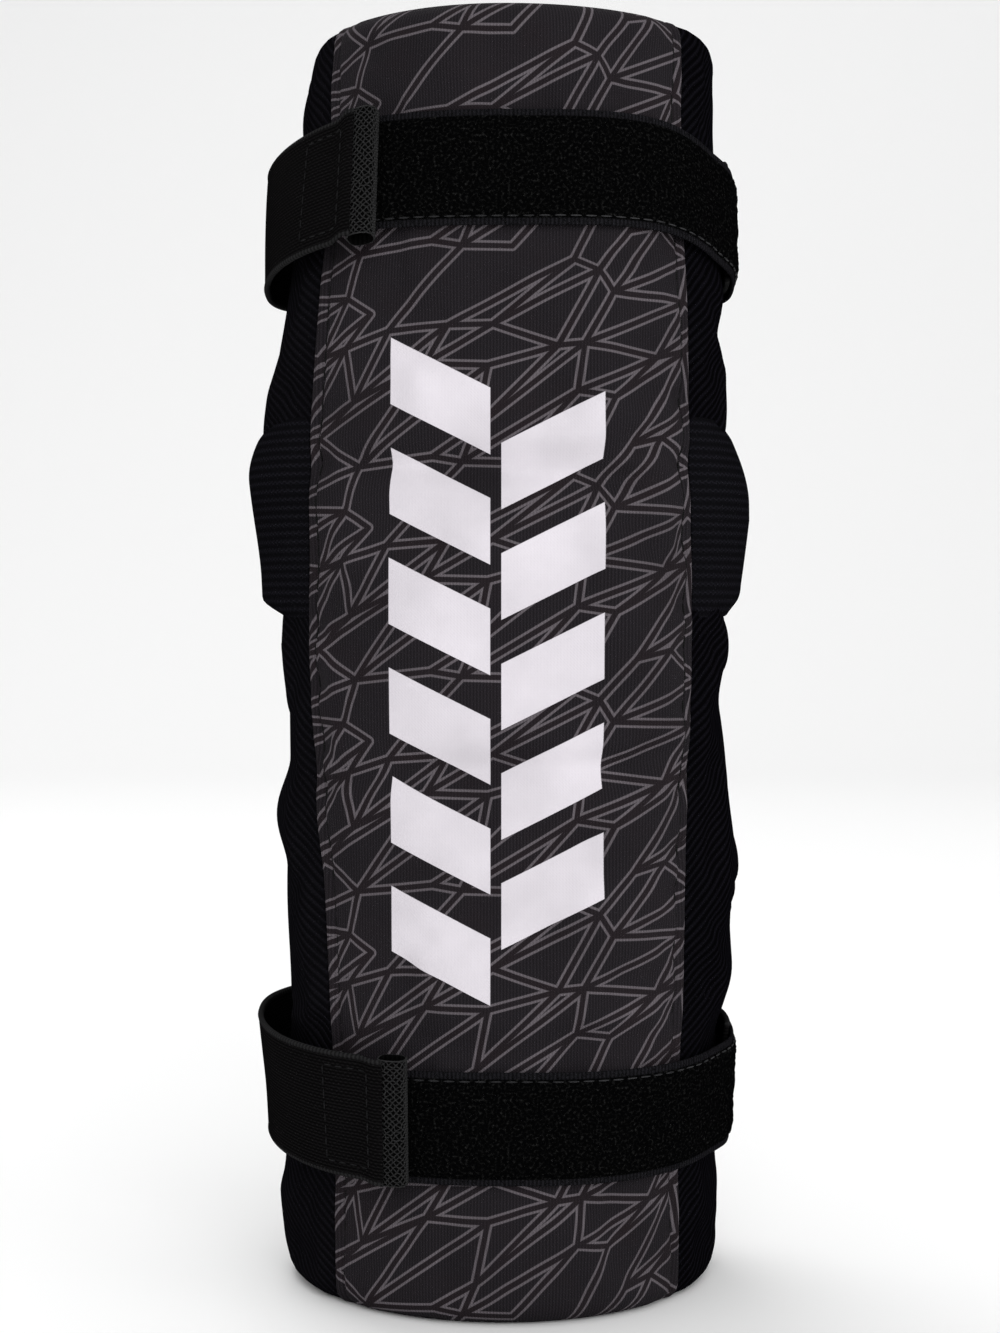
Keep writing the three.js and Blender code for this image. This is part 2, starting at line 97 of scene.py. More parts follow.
class SmoothTable:
    """A table whose columns run smoothly between its rows."""

    def __init__(self, rows: Sequence[Sequence[float]] | Array) -> None:
        """Keeps the rows.

        Args:
            rows: One row for each place: the place, then its values.
        """
        table = np.asarray(rows, float)
        self.places = table[:, 0]
        self.values = table[:, 1:]

    def at(self, place: Array) -> Array:
        """Reads every column at some places.

        Args:
            place: The places, in any shape.

        Returns:
            The values, with the columns along the last axis.
        """
        last = len(self.places) - 1
        place = np.clip(place, self.places[0], self.places[-1])
        after = np.clip(np.searchsorted(self.places, place, side="right"), 1, last)
        before = after - 1
        previous = np.where(before == 0, after, before - 1)
        following = np.where(after == last, before, np.minimum(after + 1, last))
        start, stop = self.places[before], self.places[after]
        half = (stop - start) / 2
        pull = half / (start - self.places[previous])
        push = half / (self.places[following] - stop)
        t = (place - start) / (stop - start)
        shares = (
            (previous, pull * (-(t**3) + 2 * t**2 - t)),
            (before, (1 + pull) * t**3 - (1.5 + 2 * pull) * t**2 + (pull - 0.5) * t + 1),
            (after, -(1 + push) * t**3 + (1.5 + push) * t**2 + 0.5 * t),
            (following, push * (t**3 - t**2)),
        )
        return sum(self.values[row] * share[..., None] for row, share in shares)


def hump(distance: Array, reach: float | Array) -> Array:
    """A smooth hump, 1 at its middle and 0 from its reach on."""
    share = np.minimum(np.abs(distance / reach), 1)
    return (1 - share**2) ** 2


def ease(value: Array, start: float, stop: float) -> Array:
    """A smooth step from 0 at start to 1 at stop."""
    t = np.clip((value - start) / (stop - start), 0, 1)
    return t * t * (3 - 2 * t)


def rounded(distance: Array, radius: float | Array) -> Array:
    """How far a rounded edge has drawn in at a distance from it."""
    from_edge = np.clip(distance, 0, radius)
    return radius - np.sqrt(np.maximum(0, radius**2 - (radius - from_edge) ** 2))


def graded(length: float, cell: float, edge: float) -> Array:
    """Shares from 0 to 1 that lie close together at both ends.

    Args:
        length: The whole length.
        cell: The spacing in the middle.
        edge: The radius of the rounding at either end.

    Returns:
        The shares, both ends included.
    """
    near = edge * np.array(ROUND_STEPS)
    count = max(2, round((length - 2 * edge) / cell))
    middle = np.linspace(edge, length - edge, count + 1)[1:-1]
    return np.concatenate([near, middle, length - near[::-1]]) / length


@dataclass(frozen=True)
class Swelling:
    """A bulge or crease of the padded face. Places are shares of the length, angles are degrees."""

    at: float
    reach: float
    angle: float
    spread: float
    rise: float


@dataclass(frozen=True)
class Sleeve:
    """The form that every piece is laid on."""

    length: float = 290
    half_width: float = 52
    front_depth: float = 50
    back_depth: float = 40
    front_squareness: float = 2.6
    back_squareness: float = 2.3
    panel_half_width: float = 50
    front_foam: float = 12
    side_foam: float = 8.5
    back_cloth: float = 2.6
    lining_cloth: float = 1.2
    rim_radius: float = 4
    rim_share: float = 0.46
    gap: float = 0.3
    laid_gap: float = 0.5
    lining_gap: float = 0.9
    lining_inset: float = 3
    lining_columns: int = 36
    lining_rows: int = 9
    foam_changes: tuple[float, float] = (28, 58)
    foam_ends: float = 82
    back_seam: float = 105
    normal_step: float = 0.5
    # at, left, right, front, back, squareness, seam on the left, seam on the right
    sections: SmoothTable = field(
        default_factory=lambda: SmoothTable(
            (
                (0, 0.96, 0.93, 0.985, 1, 0.77, 0.879, 0.943),
                (0.12, 0.99, 0.968, 0.99, 1, 0.85, 0.861, 0.907),
                (0.3, 0.99, 0.995, 1, 0.98, 1, 0.877, 0.872),
                (0.5, 1, 0.99, 1, 0.95, 1, 0.978, 0.91),
                (0.62, 1.006, 0.985, 1, 0.95, 1, 0.966, 0.911),
                (0.75, 1.002, 0.982, 0.998, 0.98, 1, 0.929, 0.907),
                (0.87, 0.97, 0.98, 0.992, 1, 0.86, 0.914, 0.913),
                (1, 0.862, 0.955, 0.985, 1, 0.77, 0.975, 0.932),
            )
        )
    )
    swellings: tuple[Swelling, ...] = (
        Swelling(0.38, 0.045, -90, 55, 0.275),
        Swelling(0.69, 0.124, -90, 55, 0.31),
        Swelling(0.303, 0.117, 90, 55, 0.24),
        Swelling(0.517, 0.048, 95, 50, 0.18),
        Swelling(0.538, 0.21, 0, 80, 0.18),
        Swelling(0.422, 0.024, 0, 75, -0.13),
        Swelling(0.653, 0.024, 0, 75, -0.13),
        Swelling(0.05, 0.12, -90, 55, 0.17),
        Swelling(0.035, 0.1, 92, 50, 0.12),
        Swelling(0.315, 0.09, -90, 50, 0.1),
        Swelling(0.25, 0.04, 90, 50, 0.11),
        Swelling(0.94, 0.03, -88, 45, 0.11),
    )

    def outline(self, angle: Array, height: Array) -> Array:
        """Points of the outline, seen from above."""
        left, right, front, back, square = np.moveaxis(self.sections.at(height / self.length), -1, 0)[:5]
        across, ahead = np.sin(np.radians(angle)), np.cos(np.radians(angle))
        side = np.where(across < 0, left, right) * self.half_width
        depth = np.where(ahead > 0, front * self.front_depth, back * self.back_depth)
        power = np.where(ahead > 0, square * self.front_squareness, self.back_squareness)
        reach = (np.abs(across / side) ** power + np.abs(ahead / depth) ** power) ** (-1 / power)
        return np.stack([across * reach, -ahead * reach], -1)

    def normal(self, angle: Array, height: Array) -> Array:
        """The outline's outward normals, level with the floor."""
        step = self.normal_step
        along = self.outline(angle + step, height) - self.outline(angle - step, height)
        along /= np.linalg.norm(along, axis=-1, keepdims=True)
        return np.stack([along[..., 1], -along[..., 0], np.zeros(along.shape[:-1])], -1)

    def point(self, angle: Array, height: Array, out: Array | float) -> Array:
        """Points that stand off the outline.

        Args:
            angle: Degrees round the axis.
            height: Millimetres above the lower rim.
            out: How far each point stands off.

        Returns:
            The points, in millimetres from the axis and the floor.
        """
        angle, height, out = np.broadcast_arrays(angle, height, np.asarray(out, float))
        flat = self.outline(angle, height)
        return np.concatenate([flat, height[..., None]], -1) + self.normal(angle, height) * out[..., None]

    def lengths(self, height: float) -> tuple[Array, Array]:
        """The outline's angles at a height, and how far round from the middle of the front each lies."""
        angles = np.arange(-HALF_TURN, FULL_TURN + 1.0)
        points = self.outline(angles, np.full_like(angles, height))
        walked = np.concatenate([[0], np.cumsum(np.linalg.norm(np.diff(points, axis=0), axis=1))])
        return angles, walked - walked[HALF_TURN]

    def arcs(self, angle: Array, heights: Array) -> Array:
        """How far round each angle lies, for one row of angles at each height."""
        rows = []
        for turned, height in zip(angle, heights, strict=True):
            known, walked = self.lengths(height)
            rows.append(np.interp(turned, known, walked))
        return np.array(rows)

    def angles(self, arc: Array, heights: Array) -> Array:
        """The angle that each distance round ends at, for one row of distances at each height."""
        rows = []
        for far, height in zip(arc, heights, strict=True):
            known, walked = self.lengths(height)
            rows.append(np.interp(far, walked, known))
        return np.array(rows)

    def panel_edge(self, heights: Array, side: Side) -> Array:
        """The front panel's edge at some heights, in degrees."""
        column = 5 if side is Side.LEFT else 6
        far = self.sections.at(heights / self.length)[:, column] * self.panel_half_width * side
        return self.angles(far[:, None], heights)[:, 0]

    def span(self, length: float, angle: Array, height: Array) -> Array:
        """The angle that a short length along the surface spans."""
        return np.degrees(length / np.linalg.norm(self.outline(angle, height), axis=-1))

    def swelling(self, angle: Array, height: Array) -> Array:
        """How far the padded face stands out of the plain outline."""
        out = np.zeros(np.broadcast(angle, height).shape)
        for one in self.swellings:
            turned = np.mod(angle - one.angle + HALF_TURN, FULL_TURN) - HALF_TURN
            lengthwise = hump(height - one.at * self.length, one.reach * self.length)
            out = out + one.rise * self.front_foam * lengthwise * hump(turned, one.spread)
        return out

    def wall(self, angle: Array) -> Array:
        """The wall's thickness at an angle."""
        turned = np.abs(np.mod(angle + HALF_TURN, FULL_TURN) - HALF_TURN)
        padded = self.front_foam + (self.side_foam - self.front_foam) * ease(turned, *self.foam_changes)
        return padded + (self.back_cloth - padded) * ease(turned, self.foam_ends, self.back_seam)

    def rim(self, height: Array, wall: Array) -> Array:
        """How far the rounded rims have drawn in at a height."""
        radius = np.minimum(self.rim_radius, self.rim_share * wall)
        return rounded(np.minimum(height, self.length - height), radius)

    def axis(self) -> Vector:
        """The axis in the frame, in metres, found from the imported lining's far corner."""
        angles = np.arange(self.lining_columns) * FULL_TURN / self.lining_columns
        heights = np.linspace(self.lining_inset, self.length - self.lining_inset, self.lining_rows)
        angle, height = np.meshgrid(angles, heights)
        own = self.point(angle, height, -self.wall(angle) - self.lining_gap).max(axis=(0, 1))
        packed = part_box("sleeve_lining")[1]
        return Vector((packed[0] - own[0] * MM, packed[1] - own[1] * MM, 0))


SLEEVE = Sleeve()
AXIS = SLEEVE.axis()
# The heights of the lower and the upper strap
STRAPS_AT = (44.2, 253.3)


# Mesh making


def add_object(name: str, bm: bmesh.types.BMesh) -> bpy.types.Object:
    """Makes a smooth-shaded object of a mesh and lets the mesh go."""
    mesh = bpy.data.meshes.new(name)
    bm.to_mesh(mesh)
    bm.free()
    mesh.polygons.foreach_set("use_smooth", np.ones(len(mesh.polygons), bool))
    made = bpy.data.objects.new(name, mesh)
    bpy.context.scene.collection.objects.link(made)
    return made


def hand_in(made: bpy.types.Object, slot: Slot, finish: bpy.types.Material, *nodes: str) -> None:
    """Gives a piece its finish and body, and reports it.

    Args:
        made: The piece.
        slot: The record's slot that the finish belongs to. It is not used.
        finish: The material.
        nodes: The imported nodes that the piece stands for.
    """
    made.data.materials.clear()
    made.data.materials.append(finish)
    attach(made, BODY)
    if nodes:
        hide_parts(*nodes)
    LOG.info("%s: %d faces", made.name, len(made.data.polygons))


def set_points(bm: bmesh.types.BMesh, points: Array) -> None:
    """Moves a mesh's vertices to their points, given in millimetres from the axis."""
    for vert, point in zip(bm.verts, points * MM + np.array(AXIS), strict=True):
        vert.co = point


class Slab:
    """A closed cloth or pad between an outer and an inner face, over a grid of stops."""

    def __init__(self, outer: Array, inner: Array) -> None:
        """Raises a grid into a slab and moves its faces to their points.

        Args:
            outer: The outer points, as rows of columns, in millimetres from the axis.
            inner: The inner points, in the same order.
        """
        up, across = outer.shape[:2]
        self.bm = bmesh.new()
        bmesh.ops.create_grid(self.bm, x_segments=across - 1, y_segments=up - 1, size=0.5)
        grown = bmesh.ops.extrude_face_region(self.bm, geom=self.bm.faces[:], use_keep_orig=True)
        raised = [item for item in grown["geom"] if isinstance(item, bmesh.types.BMVert)]
        bmesh.ops.translate(self.bm, verts=raised, vec=(0, 0, 1))
        self.bm.verts.ensure_lookup_table()
        place = np.array([vert.co[:] for vert in self.bm.verts])
        self.column = np.rint((place[:, 0] + 0.5) * (across - 1)).astype(int)
        self.row = np.rint((place[:, 1] + 0.5) * (up - 1)).astype(int)
        self.outside = place[:, 2] > 0.5
        self.last = across - 1
        faces = (face[self.row, self.column] for face in (outer, inner))
        set_points(self.bm, np.where(self.outside[:, None], *faces))

    def close_ring(self) -> "Slab":
        """Joins the last stop across to the first."""
        ends = [
            face
            for face in self.bm.faces
            if len({int(self.column[vert.index]) for vert in face.verts} | {-1}) == 2
            and self.column[face.verts[0].index] in (0, self.last)
        ]
        bmesh.ops.delete(self.bm, geom=ends, context="FACES_ONLY")
        bmesh.ops.remove_doubles(self.bm, verts=self.bm.verts[:], dist=WELD)
        return self

    def made(self, name: str, arc: Array | None = None, height: Array | None = None) -> bpy.types.Object:
        """Makes the object.

        Args:
            name: The piece's name.
            arc: How far round each stop lies, for the cloth map.
            height: How high each stop lies, for the cloth map.

        Returns:
            The object, with its cloth map in metres if it was given.
        """
        bmesh.ops.recalc_face_normals(self.bm, faces=self.bm.faces[:])
        made = add_object(name + CLOTH_SUFFIX, self.bm)
        if arc is not None and height is not None:
            flat = np.stack([arc[self.row, self.column], height[self.row, self.column]], -1) * MM
            corners = np.empty(len(made.data.loops), np.int32)
            made.data.loops.foreach_get("vertex_index", corners)
            made.data.uv_layers.new(name=CLOTH_MAP)
            made.data.uv_layers[CLOTH_MAP].data.foreach_set("uv", flat[corners].astype(np.float32).ravel())
        return made


@dataclass(frozen=True)
class Filling:
    """Foam that swells under its cover, by a cloth simulation of the cover."""

    pressure: float = 4
    frames: int = 20
    growth: float = 0.03
    cap: float = 2.4
    cell: float = 4.5
    quality: int = 6
    cloth_mass: float = 0.25

    def swell(self, outer: Array, inner: Array, normal: Array) -> Array:
        """Blows up a coarse cover between its held edges.

        Args:
            outer: Its outer points.
            inner: Its inner points.
            normal: The outward normals of the outer points.

        Returns:
            How far each outer stop has risen, in millimetres, capped.
        """
        slab = Slab(outer, inner)
        row, column, outside = slab.row, slab.column, slab.outside
        made = slab.made("cover")
        edge = (row == 0) | (row == row.max()) | (column == 0) | (column == column.max())
        held = made.vertex_groups.new(name="held")
        held.add([int(index) for index in np.flatnonzero(~outside | edge)], 1.0, "REPLACE")
        cover = made.modifiers.new("cover", "CLOTH")
        cover.settings.quality = self.quality
        cover.settings.mass = self.cloth_mass
        cover.settings.use_pressure = True
        cover.settings.uniform_pressure_force = self.pressure
        cover.settings.shrink_min = -self.growth
        cover.settings.vertex_group_mass = held.name
        cover.settings.effector_weights.gravity = 0
        cover.point_cache.frame_end = self.frames
        scene = bpy.context.scene
        for number in range(1, self.frames + 1):
            scene.frame_set(number)
        blown = made.evaluated_get(bpy.context.evaluated_depsgraph_get()).to_mesh()
        places = np.empty(len(blown.vertices) * 3, np.float32)
        blown.vertices.foreach_get("co", places)
        moved = (places.reshape(-1, 3) - np.array(AXIS)) / MM - outer[row, column]
        risen = np.einsum("ij,ij->i", moved, normal[row, column])
        field_of = np.zeros(outer.shape[:2])
        field_of[row[outside], column[outside]] = np.clip(risen[outside], 0, self.cap)
        bpy.data.objects.remove(made)
        scene.frame_set(1)
        return field_of


class Stitches:
    """Rows of thread stitches, gathered into one piece."""

    def __init__(self, name: str, pitch: float = 3.5, length: float = 2.7, radius: float = 0.24) -> None:
        """Starts an empty piece.

        Args:
            name: The piece's name.
            pitch: From one stitch to the next.
            length: Of the thread that shows.
            radius: Of the thread.
        """
        self.name = name
        self.pitch = pitch
        self.length = length
        self.radius = radius
        self.bm = bmesh.new()

    def sew(self, path: Array, normal: Array) -> None:
        """Sews along a path.

        Args:
            path: Points in millimetres from the axis, close together.
            normal: The outward normal at each point.
        """
        walked = np.concatenate([[0], np.cumsum(np.linalg.norm(np.diff(path, axis=0), axis=1))])
        count = max(1, int(walked[-1] / self.pitch))
        for middle in (np.arange(count) + 0.5) * walked[-1] / count:
            ends = [
                np.array([np.interp(middle + reach, walked, path[:, axis]) for axis in range(3)])
                for reach in (-self.length / 2, self.length / 2)
            ]
            out = np.array([np.interp(middle, walked, normal[:, axis]) for axis in range(3)])
            along = Vector(ends[1] - ends[0]).normalized()
            side = along.cross(Vector(out)).normalized()
            turn = Matrix((side, along, side.cross(along))).transposed().to_4x4()
            place = Vector((ends[0] + ends[1]) / 2 * MM) + AXIS
            size = Matrix.Diagonal((self.radius * MM, self.length / 2 * MM, self.radius * MM, 1))
            bmesh.ops.create_uvsphere(
                self.bm,
                u_segments=THREAD_FACETS,
                v_segments=THREAD_FACETS,
                radius=1,
                matrix=Matrix.Translation(place) @ turn @ size @ Matrix.Rotation(math.pi / 2, 4, "X"),
            )

    def finish_off(self, slot: Slot, finish: bpy.types.Material) -> None:
        """Makes the piece and hands it in."""
        hand_in(add_object(self.name, self.bm), slot, finish)


# Finishes

Socket = bpy.types.NodeSocket
Value = Socket | float | tuple


class Graph:
    """A node tree that is written as sums."""

    def __init__(self, tree: bpy.types.NodeTree) -> None:
        """Takes the tree to write in."""
        self.tree = tree

    def feed(self, entry: Socket, value: Value) -> None:
        """Links a socket to an input, or sets the input's value."""
        if isinstance(value, bpy.types.NodeSocket):
            self.tree.links.new(value, entry)
        else:
            entry.default_value = value

    def close(self, out: bpy.types.Node, **results: Socket) -> bpy.types.NodeTree:
        """Links a group's results to its output node, and returns the group."""
        for label, result in results.items():
            self.tree.links.new(result, out.inputs[label])
        return self.tree

    def node(
        self, kind: str, inputs: dict[str | int, Value] | None = None, **settings: object
    ) -> bpy.types.Node:
        """Adds a node.

        Args:
            kind: The node's type.
            inputs: A value or a socket to link, for each named or numbered input.
            settings: The node's own properties.

        Returns:
            The node.
        """
        made = self.tree.nodes.new(kind)
        for name, value in settings.items():
            setattr(made, name, value)
        for key, value in (inputs or {}).items():
            self.feed(made.inputs[key], value)
        return made

    def math(self, operation: str, *values: Value, clamp: bool = False) -> Socket:
        """One sum on numbers."""
        made = self.node("ShaderNodeMath", dict(enumerate(values)), operation=operation, use_clamp=clamp)
        return made.outputs[0]

    def above(self, value: Value, start: Value, gain: float) -> Socket:
        """A mask that rises from 0 where a value passes its start."""
        return self.math("MULTIPLY", self.math("SUBTRACT", value, start), gain, clamp=True)

    def inked(self, inside: Socket, softness: float) -> Socket:
        """A mask with a soft edge where the distance inside a shape is 0."""
        return self.math("MULTIPLY_ADD", inside, 1 / softness, 0.5, clamp=True)

    def noise(self, point: Socket, scale: Value, detail: float) -> Socket:
        """Soft noise from 0 to 1."""
        return self.node("ShaderNodeTexNoise", {"Vector": point, "Scale": scale, "Detail": detail}).outputs[0]

    def vector(self, operation: str, *values: Value, scale: Value | None = None) -> bpy.types.Node:
        """One sum on vectors."""
        inputs: dict[str | int, Value] = dict(enumerate(values))
        if scale is not None:
            inputs["Scale"] = scale
        return self.node("ShaderNodeVectorMath", inputs, operation=operation)

    def blend(self, share: Value, first: Value, second: Value) -> Socket:
        """Goes from one colour to another."""
        made = self.node("ShaderNodeMix", data_type="RGBA")
        for number, value in ((0, share), (6, first), (7, second)):
            self.feed(made.inputs[number], (*value, 1) if isinstance(value, tuple) else value)
        return made.outputs[2]

    def group(self, tree: bpy.types.NodeTree, **inputs: Value) -> bpy.types.Node:
        """Places a node group. An input's spaces are written as underscores."""
        made = self.tree.nodes.new("ShaderNodeGroup")
        made.node_tree = tree
        for name, value in inputs.items():
            self.feed(made.inputs[name.replace("_", " ")], value)
        return made


def new_group(
    name: str, inputs: dict[str, str], outputs: dict[str, str]
) -> tuple[Graph, dict[str, Socket], bpy.types.Node]:
    """Starts a node group.

    Args:
        name: The group's name.
        inputs: The kind of each input socket: Float, Vector or Color.
        outputs: The kind of each output socket.

    Returns:
        The graph to write in, the inputs by name, and the output node.
    """
    tree = bpy.data.node_groups.new(name, "ShaderNodeTree")
    for way, sockets in (("INPUT", inputs), ("OUTPUT", outputs)):
        for label, kind in sockets.items():
            tree.interface.new_socket(name=label, in_out=way, socket_type=f"NodeSocket{kind}")
    graph = Graph(tree)
    entry = graph.node("NodeGroupInput")
    return graph, {label: entry.outputs[label] for label in inputs}, graph.node("NodeGroupOutput")


@dataclass(frozen=True)
class Grain:
    """How the shared groups break up a surface. Lengths are millimetres, masks run from 0 to 1."""

    lint_scale: float = 1.1
    lint_from: float = 0.66
    lint_gain: float = 8
    tuft_from: float = 0.47
    tuft_gain: float = 4.4
    tuft_power: float = 1.7
    overlock_gain: float = 3
    overlock_turns: float = 7
    overlock_gap: float = 0.35
    dye_patch: float = 22
    # size of the patches, depth
    wear: tuple[float, float] = (45, 0.55)
    tint: tuple[float, float] = (13, 1)
    wear_on_knit: float = 0.35
    tint_spread: float = 0.6
    band_tint: float = 0.45
    ink_gloss: float = 0.15
    ink_fill: float = 0.8


GRAIN = Grain()


def ribs_group() -> bpy.types.NodeTree:
    """Parallel ribs: Height is 1 on a rib and 0 between two."""
    graph, given, out = new_group(
        "ribs", {"Point": "Vector", "Across": "Vector", "Pitch": "Float"}, {"Height": "Float"}
    )
    far = graph.vector("DOT_PRODUCT", given["Point"], given["Across"]).outputs["Value"]
    turns = graph.math("MULTIPLY", graph.math("DIVIDE", far, given["Pitch"]), math.tau)
    return graph.close(out, Height=graph.math("MULTIPLY_ADD", graph.math("COSINE", turns), 0.5, 0.5))


def weave_group() -> bpy.types.NodeTree:
    """Crossing threads: Height rises where a thread passes over."""
    graph, given, out = new_group("weave", {"Point": "Vector", "Pitch": "Float"}, {"Height": "Float"})
    turned = graph.vector("SCALE", given["Point"], scale=graph.math("DIVIDE", math.tau, given["Pitch"]))
    parts = graph.node("ShaderNodeSeparateXYZ", {0: turned.outputs[0]})
    waves = (graph.math("SINE", parts.outputs[number]) for number in (0, 1))
    return graph.close(out, Height=graph.math("MULTIPLY_ADD", graph.math("MULTIPLY", *waves), 0.5, 0.5))


def lint_group() -> bpy.types.NodeTree:
    """Uneven dye and a little lint: Shade is a factor round 1, and Lint is a mask."""
    graph, given, out = new_group(
        "lint", {"Point": "Vector", "Patch": "Float", "Depth": "Float"}, {"Shade": "Float", "Lint": "Float"}
    )
    broad = graph.noise(given["Point"], graph.math("DIVIDE", 1, given["Patch"]), 3)
    shift = graph.math("MULTIPLY", graph.math("SUBTRACT", broad, 0.5), given["Depth"])
    specks = graph.above(graph.noise(given["Point"], GRAIN.lint_scale, 2), GRAIN.lint_from, GRAIN.lint_gain)
    return graph.close(out, Shade=graph.math("MULTIPLY_ADD", shift, 2, 1), Lint=specks)


def tufts_group() -> bpy.types.NodeTree:
    """Loops of pile: Height is 1 on a tuft that catches the light, and 0 over most of the pile."""
    graph, given, out = new_group("tufts", {"Point": "Vector", "Size": "Float"}, {"Height": "Float"})
    noise = graph.noise(given["Point"], graph.math("DIVIDE", 1, given["Size"]), 3)
    peaks = graph.above(noise, GRAIN.tuft_from, GRAIN.tuft_gain)
    return graph.close(out, Height=graph.math("POWER", peaks, GRAIN.tuft_power))


def overlock_group() -> bpy.types.NodeTree:
    """The overlocked edges of a band whose middle is at 0: Edge is their mask, broken by the thread."""
    graph, given, out = new_group("overlock", {"Point": "Vector", "Start": "Float"}, {"Edge": "Float"})
    parts = graph.node("ShaderNodeSeparateXYZ", {0: given["Point"]})
    edge = graph.above(graph.math("ABSOLUTE", parts.outputs[1]), given["Start"], GRAIN.overlock_gain)
    wave = graph.math("SINE", graph.math("MULTIPLY", parts.outputs[0], GRAIN.overlock_turns))
    thread = graph.math("MULTIPLY_ADD", wave, GRAIN.overlock_gap, 1 - GRAIN.overlock_gap)
    return graph.close(out, Edge=graph.math("MULTIPLY", edge, thread))


def line_group() -> bpy.types.NodeTree:
    """The distance to one printed line, or to the nearest one before it if that is less."""
    graph, given, out = new_group(
        "printed_line",
        {"Point": "Vector", "Start": "Vector", "Run": "Vector", "Share": "Vector", "Nearest": "Float"},
        {"Nearest": "Float"},
    )
    offset = graph.vector("SUBTRACT", given["Point"], given["Start"]).outputs[0]
    dot = graph.vector("DOT_PRODUCT", offset, given["Share"]).outputs["Value"]
    walked = graph.math("ADD", dot, 0, clamp=True)
    foot = graph.vector("SCALE", given["Run"], scale=walked).outputs[0]
    far = graph.vector("DISTANCE", offset, foot).outputs["Value"]
    return graph.close(out, Nearest=graph.math("MINIMUM", far, given["Nearest"]))


@dataclass(frozen=True)
class ShardPrint:
    """An all-over print of long shards, each drawn with a double outline, from a seeded lattice."""

    columns: int = 4
    rows: int = 6
    cell_width: float = 20
    cell_height: float = 7.8
    shift_across: float = 6.5
    shift_up: float = 3.2
    left_out: float = 0.14
    seed: int = 5
    half_band: float = 0.86
    half_line: float = 0.27
    softness: float = 0.16
    farthest: float = 100

    @property
    def tile(self) -> tuple[float, float]:
        """The tile's width and height."""
        return self.columns * self.cell_width, self.rows * self.cell_height

    def node_at(self, nodes: dict[tuple[int, int], tuple[float, float]], column: int, row: int) -> Array:
        """A node's place, also outside the tile."""
        width, height = self.tile
        x, z = nodes[column % self.columns, row % self.rows]
        over, up = column // self.columns, row // self.rows
        return np.array([x + over * width, z + (up + over) * height])

    def lines(self) -> list[tuple[Array, Array]]:
        """Every line that reaches into the tile, with its two ends."""
        rng = random.Random(self.seed)
        width, height = self.tile
        nodes = {}
        for row in range(self.rows):
            for column in range(self.columns):
                x = (column + 0.5 * (row % 2)) * self.cell_width + rng.uniform(-1, 1) * self.shift_across
                z = row * self.cell_height + rng.uniform(-1, 1) * self.shift_up
                nodes[column, row] = (x, z + x * height / width)
        once = []
        for row in range(self.rows):
            for column in range(self.columns):
                odd = row % 2
                for over, up in ((1, 0), (odd, 1), (odd - 1, 1)):
                    if rng.random() >= self.left_out:
                        far = self.node_at(nodes, column + over, row + up)
                        once.append((self.node_at(nodes, column, row), far))
        margin = self.half_band + self.half_line + self.softness
        found = []
        for start, stop in once:
            for over in (-1, 0, 1):
                for up in (-2, -1, 0, 1, 2):
                    move = np.array([over * width, up * height])
                    low, high = np.minimum(start, stop) + move, np.maximum(start, stop) + move
                    if (high > -margin).all() and (low < np.array(self.tile) + margin).all():
                        found.append((start + move, stop + move))
        return found

    def group(self) -> bpy.types.NodeTree:
        """The print as a node group: Line masks the double outlines, and Band what lies between two."""
        line = line_group()
        graph, given, out = new_group("shard_print", {"Point": "Vector"}, {"Line": "Float", "Band": "Float"})
        wrapped = graph.vector("WRAP", given["Point"], (*self.tile, 1), (0, 0, 0)).outputs[0]
        flat = graph.vector("MULTIPLY", wrapped, (1, 1, 0)).outputs[0]
        nearest: Value = self.farthest
        for start, stop in self.lines():
            run = stop - start
            nearest = graph.group(
                line,
                Point=flat,
                Start=(*start, 0),
                Run=(*run, 0),
                Share=(*(run / float(run @ run)), 0),
                Nearest=nearest,
            ).outputs[0]
        off = graph.math("ABSOLUTE", graph.math("SUBTRACT", nearest, self.half_band))
        band = graph.inked(graph.math("SUBTRACT", self.half_band, nearest), self.softness)
        mask = graph.inked(graph.math("SUBTRACT", self.half_line, off), self.softness)
        return graph.close(out, Band=band, Line=mask)


@dataclass(frozen=True)
class TreadPrint:
    """Two columns of slanted white bars, staggered by half their pitch like a tread."""

    low: float = 77
    bars: int = 6
    pitch: float = 24
    bar: float = 14.5
    slope: float = 0.5
    slack: float = 1
    # start, stop, way that the bars slope
    columns: tuple[tuple[float, float, int], ...] = ((-25.5, -3.2, 1), (-0.8, 21.5, -1))
    softness: float = 0.14

    def group(self) -> bpy.types.NodeTree:
        """The bars as a node group: Ink is their mask."""
        graph, given, out = new_group("tread_print", {"Point": "Vector"}, {"Ink": "Float"})
        parts = graph.node("ShaderNodeSeparateXYZ", {0: given["Point"]})
        across, up = parts.outputs[0], parts.outputs[1]
        total: Value = 0.0
        for number, (start, stop, way) in enumerate(self.columns):
            low = self.low + number * self.pitch / 2
            count = self.bars - number
            climbed = graph.math("MULTIPLY_ADD", across, way * self.slope, up)
            base = low + way * self.slope * (start + stop) / 2
            risen = graph.math("SUBTRACT", climbed, base)
            turned = graph.math("FLOORED_MODULO", risen, self.pitch)
            inside = graph.math("MINIMUM", turned, graph.math("SUBTRACT", self.bar, turned))
            for edge in (
                graph.math("SUBTRACT", across, start),
                graph.math("SUBTRACT", stop, across),
                graph.math("ADD", risen, self.slack),
                graph.math("SUBTRACT", count * self.pitch - self.slack, risen),
            ):
                inside = graph.math("MINIMUM", inside, edge)
            total = graph.math("ADD", total, graph.inked(inside, self.softness), clamp=True)
        return graph.close(out, Ink=total)


